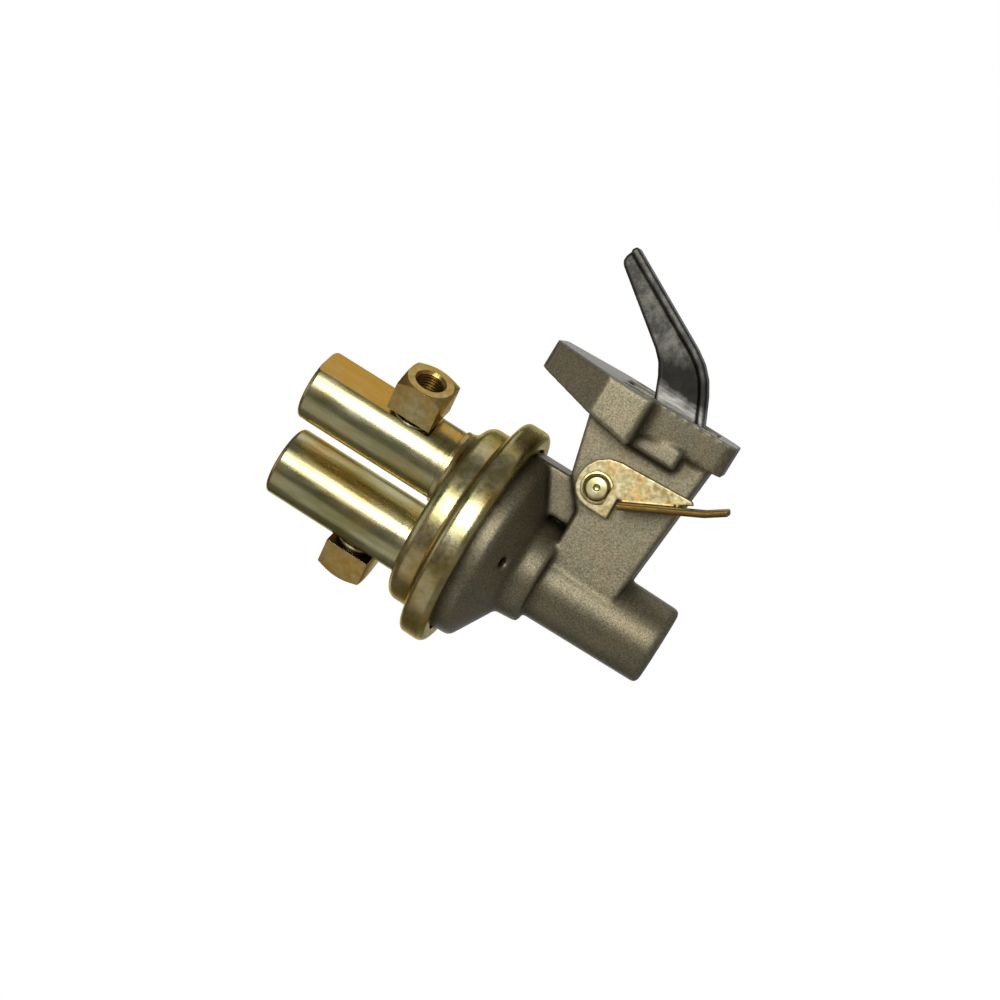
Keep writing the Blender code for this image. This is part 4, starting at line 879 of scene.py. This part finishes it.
@dataclass
class Canister:
    """A deep drawn canister with a flat down its outward side and two faint rings near its foot."""

    axes: PumpAxes
    side: int
    name: str
    wall: float = 1.2 * MM
    top: float = 94.5 * MM
    edge: float = 2.0 * MM
    flat: float = 2.4 * MM
    washer_radius: float = 9.9 * MM
    stub_radius: float = 7.0 * MM
    ring_heights: tuple[float, ...] = (34.2 * MM, 30.6 * MM)
    ring_depth: float = 0.045 * MM
    ring_half: float = 0.22 * MM

    def outside(self) -> list[Corner]:
        """The outer half section: a rounded top and the wall with its rings."""
        radius = self.axes.canister_radius
        foot = self.axes.dome_top + 0.3 * MM
        rings: list[Corner] = []
        for height in self.ring_heights:
            rings += [
                (radius, height + self.ring_half, 0),
                (radius - self.ring_depth, height, 0.3 * MM),
                (radius, height - self.ring_half, 0),
            ]
        top = [(0, self.top, 0), (radius, self.top, self.edge)]
        return [*top, *rings, (radius, foot, 0), (0, foot, 0)]

    def inside(self) -> list[Corner]:
        """The inner half section, open at the foot."""
        radius = self.axes.canister_radius - self.wall
        top = self.top - self.wall
        foot = self.axes.dome_top - self.wall
        return [(0, top, 0), (radius, top, self.edge - self.wall), (radius, foot, 0), (0, foot, 0)]

    def flat_cut(self, depth: float) -> Object:
        """The block that leaves the flat.

        Args:
            depth: How far in from the round wall the flat lies.

        Returns:
            The block.
        """
        radius = self.axes.canister_radius
        low = self.axes.port_height - self.washer_radius - 0.6 * MM
        return brick(
            f"{self.name}_flat",
            (radius - depth, -radius, low),
            (2 * radius, radius, self.top + radius),
            self.axes.canister(self.side),
            edge=0.9 * MM,
        )

    def build(self) -> Object:
        """Builds the canister with its flat and its port's hole."""
        axes = self.axes
        place = axes.canister(self.side)
        can = turned(f"{self.name}_skin", self.outside(), place, 160)
        combine(can, "DIFFERENCE", self.flat_cut(self.flat))
        hollow = turned(f"{self.name}_hollow", self.inside(), place, 96)
        combine(hollow, "DIFFERENCE", self.flat_cut(self.flat + self.wall))
        port = Matrix.Translation((0, 0, axes.port_height)) @ QUARTER_Y
        bore = self.stub_radius + 0.3 * MM
        drill = round_bar(bore, 0, axes.canister_radius)
        hole = turned(f"{self.name}_hole", drill, place @ port, 48)
        combine(can, "DIFFERENCE", hollow, hole)
        soften_edges(can, 0.35 * MM)
        soften_shading(can, 20.0)
        paint_faces(can, "stain", self.drained, place)
        return can

    def drained(self, middle: Vector, normal: Vector) -> float:
        """The bath ran off over the flat, and a little over the closed end's edge."""
        if normal.x > 0.98 and middle.x > self.axes.canister_radius - self.flat - 0.1 * MM:
            return 0.6
        return 0.2 if middle.z > self.top - self.edge else 0.0


@dataclass
class Fitting:
    """A square port fitting: turned end, countersunk mouth, pipe thread and round spigot."""

    axes: PumpAxes
    side: int
    name: str
    size: float = 20.5 * MM
    start: float = 38.85 * MM
    length: float = 15.4 * MM
    turned_end: float = 10.1 * MM
    spigot_radius: float = 9.2 * MM
    spigot_length: float = 1.7 * MM
    stub_radius: float = 7.0 * MM
    stub_length: float = 3.4 * MM
    mouth: float = 6.9 * MM
    bore: float = 5.7 * MM
    depth: float = 14.0 * MM
    through: float = 4.2 * MM
    pitch: float = 1.41 * MM
    thread_height: float = 0.62 * MM
    thread_width: float = 0.92
    thread_root: float = 0.15 * MM
    thread_steps: int = 40
    chamfer: float = math.radians(30)
    washer_start: float = 35.65 * MM
    washer_thickness: float = 1.2 * MM
    washer_radius: float = 9.9 * MM

    def build(self) -> Object:
        """Builds the fitting's body with its bore."""
        place = self.axes.port(self.side)
        half = self.size / 2
        end = self.start + self.length
        body = brick(f"{self.name}_skin", (-half, -half, self.start), (half, half, end), place)
        corner = half * math.sqrt(2) + MM
        fall = (corner - self.turned_end) * math.tan(self.chamfer)
        envelope = [
            (0, end, 0),
            (self.turned_end, end, 0.3 * MM),
            (corner, end - fall, 0),
            (corner, self.start - MM, 0),
            (0, self.start - MM, 0),
        ]
        combine(body, "INTERSECT", turned("envelope", envelope, place))
        spigot_start = self.start - self.spigot_length
        stub_end = spigot_start - self.stub_length
        spigot = [
            (0, self.start + MM, 0),
            (self.spigot_radius, self.start + MM, 0),
            (self.spigot_radius, spigot_start, 0.3 * MM),
            (self.stub_radius, spigot_start, 0),
            (self.stub_radius, stub_end, 0.3 * MM),
            (0, stub_end, 0),
        ]
        combine(body, "UNION", turned("spigot", spigot, place))
        step = self.mouth - self.bore
        bore = [
            (0, end + MM, 0),
            (self.mouth + MM, end + MM, 0),
            (self.bore, end - step, 0),
            (self.bore, end - self.depth, 0),
            (self.through, end - self.depth - (self.bore - self.through) / 2, 0),
            (self.through, stub_end - MM, 0),
            (0, stub_end - MM, 0),
        ]
        combine(body, "DIFFERENCE", turned("bore", bore, place))
        soften_edges(body, 0.3 * MM)
        soften_shading(body, 24.0)
        # Painted shade in the bore and behind the block.
        paint_faces(body, "hollow", self.shaded, place)
        paint_faces(body, "stain", self.drained, place)
        # Edges lightened as wear and as a painted edge highlight.
        paint_faces(body, "rim", self.rubbed, place)
        return body

    def rubbed(self, middle: Vector, normal: Vector) -> float:
        """The narrow rounds of the block's edges are lightened: rubbed bright, and a painted edge
        highlight.
        """
        flat_on = max(abs(normal.x), abs(normal.y), abs(normal.z)) > 0.97
        on_chamfer = abs(normal.z - math.cos(self.chamfer)) < 0.02
        reach = math.hypot(middle.x, middle.y)
        return 0.0 if flat_on or on_chamfer or reach < self.turned_end - 0.5 * MM else 0.9

    def shaded(self, middle: Vector, normal: Vector) -> float:
        """Paints shade in the bore and on the root behind the block."""
        reach = math.hypot(middle.x, middle.y)
        in_bore = reach < self.bore + 0.1 * MM and middle.z < self.start + self.length - 1.0 * MM
        return 1.0 if in_bore or middle.z < self.start - 0.05 * MM else 0.0

    def drained(self, middle: Vector, normal: Vector) -> float:
        """The turned end and the mouth are stained most."""
        return 0.4 if middle.z > self.start + self.length - 4 * MM else 0.0

    def thread(self) -> Object:
        """Cuts the pipe thread's crests: one ridge that winds down the bore."""
        end = self.start + self.length
        top = end - (self.mouth - self.bore) - 0.4 * MM
        turns = int((self.depth - 3 * MM) / self.pitch)
        bm = bmesh.new()
        half = self.pitch * self.thread_width / 2
        root = self.bore + self.thread_root
        crest = self.bore - self.thread_height
        corners = ((root, 0, top + half), (crest, 0, top), (root, 0, top - half))
        ridge = [bm.verts.new(corner) for corner in corners]
        edges = [bm.edges.new((ridge[i], ridge[(i + 1) % 3])) for i in range(3)]
        cap = bm.faces.new(ridge)
        bmesh.ops.spin(
            bm,
            geom=ridge + edges + [cap],
            cent=(0, 0, 0),
            axis=(0, 0, 1),
            dvec=(0, 0, -self.pitch / self.thread_steps),
            angle=2 * math.pi * turns,
            steps=self.thread_steps * turns,
            use_merge=False,
            use_duplicate=False,
        )
        bmesh.ops.transform(bm, matrix=self.axes.port(self.side), verts=bm.verts)
        bmesh.ops.recalc_face_normals(bm, faces=bm.faces)
        piece = bare_object(f"{self.name}_thread", bm)
        soften_shading(piece, 40.0)
        # The whole thread gets painted shade, as it sits in the bore.
        paint_faces(piece, "hollow", lambda middle, normal: 0.9, Matrix.Identity(4))
        return piece

    def washer(self) -> Object:
        """The ring between the canister's flat and the spigot."""
        start = self.washer_start
        end = start + self.washer_thickness
        inside = self.stub_radius + 0.3 * MM
        ring = [
            (self.washer_radius, end, 0.3 * MM),
            (self.washer_radius, start, 0.3 * MM),
            (inside, start, 0),
            (inside, end, 0),
        ]
        piece = turned(f"{self.name}_washer_skin", ring, self.axes.port(self.side), 96, closed=True)
        soften_shading(piece, 35.0)
        return piece


@dataclass
class Casting:
    """The cast body: the CAD solid and a finely turned skin of its round stretches, fused."""

    axes: PumpAxes
    clamp_bottom: float = 1.9 * MM
    bowl_radius: float = 42.8 * MM
    bowl_depth: float = 7.4 * MM
    cone_bottom: float = 18.3 * MM
    collar_radius: float = 23.5 * MM
    collar_bottom: float = 28.6 * MM
    barrel_radius: float = 18.5 * MM
    barrel_bottom: float = 84.4 * MM
    draft: float = 0.9 * MM
    skin: float = 1.8 * MM
    vent_radius: float = 2.6 * MM
    vent_reach: float = 8.0 * MM
    vent_share: float = 0.38
    chamber_near: Place = (7.0 * MM, -12.0 * MM, -63.0 * MM)
    chamber_far: Place = (60.0 * MM, 12.0 * MM, -31.0 * MM)
    voxel: float = 0.9 * MM

    def section(self) -> list[Corner]:
        """The outer skin's closed half section, from the bowl's edge down to the barrel's end."""
        inner = self.skin
        return [
            (self.bowl_radius - inner, -self.bowl_depth + inner, 0),
            (self.bowl_radius - inner, -self.clamp_bottom, 0),
            (self.bowl_radius, -self.clamp_bottom, 0),
            (self.bowl_radius - 0.2 * MM, -self.bowl_depth, 3 * MM),
            (self.collar_radius, -self.cone_bottom, 1.6 * MM),
            (self.collar_radius - self.draft, -self.collar_bottom, 1.6 * MM),
            (self.barrel_radius, -self.collar_bottom, 0.8 * MM),
            (self.barrel_radius - self.draft, -self.barrel_bottom, 2.6 * MM),
            (5 * MM, -self.barrel_bottom, 0),
            (5 * MM, -self.barrel_bottom + inner, 0),
            (self.barrel_radius - self.draft - inner, -self.barrel_bottom + inner, 0),
            (self.barrel_radius - inner, -self.collar_bottom + inner, 0),
            (self.collar_radius - inner, -self.cone_bottom + 2 * inner, 0),
        ]

    def vent(self) -> Object:
        """The drill for the weep hole in the cone, on the lever's side."""
        run = self.bowl_radius - self.collar_radius
        fall = self.cone_bottom - self.bowl_depth
        tilt = math.atan2(run, fall)
        out = self.collar_radius + run * self.vent_share
        height = -self.cone_bottom + fall * self.vent_share
        place = (
            self.axes.pump
            @ Matrix.Translation((0, -out, height))
            @ Matrix.Rotation(math.pi / 2 + tilt, 4, "X")
        )
        drill = round_bar(self.vent_radius, self.vent_reach, -self.vent_reach)
        return turned("vent_drill", drill, place, 48)

    def build(self) -> Object:
        """Builds the casting's skin."""
        skin = turned("casting_turned_skin", self.section(), self.axes.pump, 180, closed=True)
        chamber = brick("chamber_cut", self.chamber_near, self.chamber_far, self.axes.pump)
        combine(skin, "DIFFERENCE", chamber, self.vent())
        solid = welded_copy("body_casting")
        # The hollow level spreads far here: painted shade under the flange and round the gusset.
        return fused("casting_skin", [solid, skin], self.voxel, 3, shade_spread=40)


@dataclass
class RockerArm:
    """The forged arm, its rim and hub fused with forging radii."""

    voxel: float = 0.42 * MM

    def build(self) -> Object:
        """Builds the arm's skin from the CAD solid."""
        return fused("rocker_arm_skin", [welded_copy("rocker_arm")], self.voxel, 8)


@dataclass
class Primer:
    """The hand lever and the end of its cam shaft."""

    axes: PumpAxes
    voxel: float = 0.34 * MM
    fit: float = 0.3 * MM
    back: float = 19.4 * MM
    thickness: float = 2.6 * MM
    radius: float = 5.9 * MM
    end_radius: float = 5.4 * MM
    head_radius: float = 6.9 * MM
    head_thickness: float = 0.6 * MM
    flat: float = 4.1 * MM
    cam_flat: float = 4.4 * MM
    cam_half: float = 11.0 * MM
    far_end: float = 14.925 * MM
    groove: float = 0.45 * MM

    def build_lever(self) -> Object:
        """Builds the lever's skin, with the sheared edges a little rounded."""
        lever = fused("primer_lever_skin", [welded_copy("primer_lever")], self.voxel, 3)
        # Painted shade on the folded tab.
        paint_faces(lever, "sheared", self.sheared, self.place())
        return lever

    def sheared(self, middle: Vector, normal: Vector) -> float:
        """Paints shade on the folded tab's edge, which stands nearest to the hand."""
        return 1.0 if middle.z > self.back + self.thickness + 0.6 * MM and normal.z > 0.5 else 0.0

    def build_shaft(self) -> Object:
        """Builds the shaft: journal, staked head, the groove round its end and the dimple."""
        back, front = self.back, self.back + self.thickness
        head = front + self.fit + self.head_thickness
        lip = self.head_radius
        end = self.end_radius
        section = [
            (0, head + 0.15 * MM, 0),
            (0.9 * MM, head + 0.25 * MM, 0.5 * MM),
            (1.5 * MM, head + 0.72 * MM, 0.5 * MM),
            (end - 0.5 * MM, head + 0.55 * MM, 1.2 * MM),
            (end - 0.25 * MM, head - self.groove, 0),
            (end + 0.25 * MM, head - self.groove, 0),
            (end + 0.4 * MM, head + 0.18 * MM, 0.15 * MM),
            (lip, head + 0.05 * MM, 0.35 * MM),
            (lip, front + self.fit, 0),
            (end, front + self.fit, 0),
            (end, back - self.fit, 0),
            (self.radius, back - self.fit, 0),
            (self.radius, -self.far_end, 0.4 * MM),
            (0, -self.far_end, 0),
        ]
        place = self.place()
        shaft = turned("primer_shaft_skin", section, place, 96)
        wide = 2 * self.radius
        flats = {
            "neck_flat": (back - self.fit, front + self.fit, self.flat),
            "head_flat": (front, head + 2 * MM, self.flat + 1.2 * MM),
            "cam_flat": (-self.cam_half, self.cam_half, self.cam_flat),
        }
        cuts = [
            brick(name, (-wide, -wide, low), (wide, -depth, high), place)
            for name, (low, high, depth) in flats.items()
        ]
        combine(shaft, "DIFFERENCE", *cuts)
        soften_edges(shaft, 0.12 * MM)
        soften_shading(shaft, 24.0)
        # Painted shade in the groove round the head.
        paint_faces(shaft, "hollow", self.shaded, place)
        return shaft

    def place(self) -> Matrix:
        """The shaft's axis: local Z points at the lever, and local Y up."""
        shaft = self.axes.shaft
        return self.axes.pump @ Matrix.Translation(shaft) @ QUARTER_X

    def shaded(self, middle: Vector, normal: Vector) -> float:
        """Paints shade in the groove round the shaft's end."""
        reach = math.hypot(middle.x, middle.y)
        head = self.back + self.thickness + self.fit + self.head_thickness
        in_groove = abs(reach - self.end_radius) < 0.42 * MM and middle.z < head + 0.1 * MM
        return 1.0 if in_groove and middle.z > head - 1.2 * self.groove else 0.0


@dataclass(frozen=True)
class Spring:
    """A coil spring: the CAD wire, and the joint, travel and seat listed for it."""

    node: str
    joint: str = ""
    travel: float = 0.0
    seat_on_top: bool = False
    follows: str = ""
    end_turn: float = 3.4 * MM

    def build(self) -> Object:
        """Builds the wire, smoothly shaded."""
        wire = welded_copy(self.node)
        wire.name = f"{self.node}_wire"
        soften_shading(wire, 50.0)
        return wire

    def press(self, wire: Object) -> None:
        """Bakes the wire in place if it follows a body, or else hangs it on the housing with a mesh
        of its own.

        Args:
            wire: The spring's piece.
        """
        if self.follows:
            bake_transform(wire)
            return
        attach(wire, "housing")
        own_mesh(wire)


SPRINGS = (
    Spring("arm_return_spring", follows="arm"),
    Spring("diaphragm_spring", "rod_slide", 7.6 * MM),
    Spring("inlet_valve_spring", "inlet_valve_lift", 1.0 * MM),
    Spring("outlet_valve_spring", "outlet_valve_lift", 1.0 * MM, seat_on_top=True),
)


@dataclass(frozen=True)
class Panel:
    """A square soft light that faces the pump, placed along the picture's right, up and back."""

    name: str
    toward: Place
    distance: float
    size: float
    watts: float


PANELS = (
    Panel("key", (-0.16, 0.24, 0.95), distance=1.0, size=0.5, watts=5.2),
    Panel("left_panel", (-0.9, 0.3, 0.15), distance=1.1, size=0.8, watts=0.9),
    Panel("low_left_panel", (-0.64, -0.73, 0.24), distance=1.1, size=0.9, watts=0.85),
    Panel("high_right_panel", (0.44, 0.86, -0.27), distance=1.1, size=0.9, watts=1.7),
    Panel("behind", (0.0, 0.0, -1.0), distance=1.0, size=1.3, watts=5.0),
)


@dataclass
class Studio:
    """A pale floor, soft lights and the camera at the photograph's angle."""

    azimuth: float = math.radians(7.6)
    elevation: float = math.radians(-6.8)
    lens: float = 80.0
    distance: float = 933.2 * MM
    aim_right: float = 16.93 * MM
    aim_up: float = 4.49 * MM
    reach: float = 88.0 * MM
    roll: float = math.atan2(0.846, 0.533)
    floor_height: float = -0.17
    floor_radius: float = 8.0
    bounce: float = 0.15
    room: float = 0.12

    def level_axes(self) -> tuple[Vector, Vector, Vector]:
        """Right, up and backward of the camera before it is rolled."""
        az, el = self.azimuth, self.elevation
        right = Vector((math.cos(az), math.sin(az), 0))
        up = Vector((-math.sin(az) * math.sin(el), math.cos(az) * math.sin(el), math.cos(el)))
        back = Vector((math.sin(az) * math.cos(el), -math.cos(az) * math.cos(el), math.sin(el)))
        return right, up, back

    def image_axes(self) -> tuple[Vector, Vector, Vector]:
        """Right, up and backward of the picture."""
        right, up, back = self.level_axes()
        image_right = math.cos(self.roll) * right - math.sin(self.roll) * up
        image_up = math.sin(self.roll) * right + math.cos(self.roll) * up
        return image_right, image_up, back

    def aim(self) -> Vector:
        """The point that the camera looks at."""
        right, up, _ = self.level_axes()
        return right * self.aim_right + up * self.aim_up - Vector((self.reach, 0, 0))

    def add_camera(self) -> None:
        """Adds the camera, rolled as the photograph is."""
        image_right, image_up, back = self.image_axes()
        data = bpy.data.cameras.new("photo_camera")
        data.lens = self.lens
        data.sensor_width = 36.0
        data.clip_start = 0.01
        camera = bpy.data.objects.new("photo_camera", data)
        turn = Matrix((image_right, image_up, back)).transposed().to_4x4()
        camera.matrix_world = Matrix.Translation(self.aim() + back * self.distance) @ turn
        bpy.context.scene.collection.objects.link(camera)
        bpy.context.scene.camera = camera

    def add_panel(self, panel: Panel) -> None:
        """Adds a light.

        Args:
            panel: Its name, place, size and power.
        """
        direction = sum((a * b for a, b in zip(self.image_axes(), panel.toward)), Vector())
        data = bpy.data.lights.new(panel.name, "AREA")
        data.shape = "SQUARE"
        data.size = panel.size
        data.energy = panel.watts
        light = bpy.data.objects.new(panel.name, data)
        light.location = self.aim() + direction.normalized() * panel.distance
        light.rotation_euler = direction.to_track_quat("Z", "Y").to_euler()
        light.visible_camera = False
        bpy.context.scene.collection.objects.link(light)

    def camera_level(self, tree: Tree, others: float) -> Socket:
        """A strength that is one where the camera looks at it, and lower for what it lights.

        Args:
            tree: The node tree.
            others: The strength for every other ray.

        Returns:
            The socket that gives it.
        """
        return add_node(tree, Kind.SPAN, [add_node(tree, Kind.RAY), 0.0, 1.0, others, 1.0])

    def add_floor(self) -> None:
        """Adds the pale floor under the pump. It shows white, and sends up only a little light."""
        bm = bmesh.new()
        bmesh.ops.create_circle(
            bm,
            cap_ends=True,
            segments=64,
            radius=self.floor_radius,
            matrix=Matrix.Translation((0, 0, self.floor_height)),
        )
        floor = bare_object("floor", bm)
        made, tree, shader = empty_material("pale_floor")
        paint = {
            "Base Color": Tone.FLOOR_PAINT,
            "Roughness": 0.9,
            "Specular IOR Level": 0.0,
            "Emission Color": WHITE,
            "Emission Strength": self.camera_level(tree, self.bounce),
        }
        feed(tree, shader, paint)
        floor.data.materials.append(made)

    def add_world(self) -> None:
        """Adds the room: white behind the pump, and a dim grey for what the metal mirrors."""
        world = bpy.data.worlds.new("studio")
        bpy.context.scene.world = world
        world.use_nodes = True
        tree = world.node_tree
        light = {"Color": WHITE, "Strength": self.camera_level(tree, self.room)}
        feed(tree, tree.nodes["Background"], light)

    def build(self) -> None:
        """Sets up the whole studio."""
        self.add_camera()
        for panel in PANELS:
            self.add_panel(panel)
        self.add_floor()
        self.add_world()
        bpy.context.scene.view_settings.view_transform = "Standard"


@dataclass
class Piece:
    """A new piece with what carries it, what it stands for and its finish."""

    obj: Object
    body: str
    finish: Finish
    slot: str
    stands_for: tuple[str, ...] = ()
    spring: Spring | None = None


NODE_FINISHES: dict[Finish, tuple[str, ...]] = {
    PLAIN_BRONZE: ("arm_bushing",),
    CLOTH_RUBBER: ("cover_gasket", "diaphragm"),
    PLATED_STAMPING: ("diaphragm_lower_plate", "diaphragm_upper_plate"),
    NITRILE: ("inlet_valve_flap", "outlet_valve_flap", "rod_oil_seal", "shaft_seal_ring"),
    TURNED_BRASS: tuple(f"{way}_valve_{part}" for way in WAYS for part in ("seat", "stem")),
    GROUND_STEEL: ("pin_spacer_far", "pin_spacer_near", "pull_rod", "rocker_pin")
    + ("seal_retainer", "spring_seat", "valve_body"),
    SPRING_STEEL: ("primer_return_spring",),
    FORGED: ("rocker_link",),
    PLATED_BAR: ("rod_nut",),
}


def build_pieces() -> list[Piece]:
    """Builds every new piece.

    Returns:
        The pieces, in the order that they are reported in.
    """
    axes = PumpAxes()
    primer = Primer(axes)
    made = [
        Piece(Cover(axes).build(), "housing", PLATED_STAMPING, "fuel_cover", ("fuel_cover",)),
        Piece(Casting(axes).build(), "housing", IRON, "body_casting", ("body_casting",)),
        Piece(RockerArm().build(), "arm", FORGED, "rocker_arm", ("rocker_arm",)),
        Piece(primer.build_lever(), "primer", PLATED_LEVER, "primer_lever", ("primer_lever",)),
        Piece(primer.build_shaft(), "primer", PLATED_BAR, "primer_shaft", ("primer_shaft",)),
    ]
    for way, side in WAYS.items():
        can = Canister(axes, side, f"{way}_canister")
        made.append(Piece(can.build(), "housing", PLATED, can.name, (can.name,)))
        fitting = Fitting(axes, side, f"{way}_fitting")
        ring = f"{way}_fitting_washer"
        made += [
            Piece(fitting.build(), "housing", PLATED_BAR, fitting.name, (fitting.name,)),
            Piece(fitting.thread(), "housing", PLATED_BAR, fitting.name),
            Piece(fitting.washer(), "housing", PLATED_BAR, ring, (ring,)),
        ]
    for spring in SPRINGS:
        node = spring.node
        made.append(Piece(spring.build(), "housing", SPRING_STEEL, node, (node,), spring))
    return made


def main() -> None:
    """Builds the pieces, dresses everything and sets up the studio."""
    logging.basicConfig(level=logging.INFO, format="%(name)s: %(message)s")
    wardrobe = Wardrobe()
    for piece in build_pieces():
        if not piece.spring:
            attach(piece.obj, piece.body)
        if piece.stands_for:
            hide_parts(*piece.stands_for)
        wardrobe.dress(piece.obj, piece.finish)
        if piece.spring:
            piece.spring.press(piece.obj)
        log.info("%s: %d faces on %s", piece.obj.name, len(piece.obj.data.polygons), piece.body)
    for finish, names in NODE_FINISHES.items():
        for name in names:
            wardrobe.dress(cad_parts[name], finish)
    Studio().build()


if __name__ == "__main__":
    main()
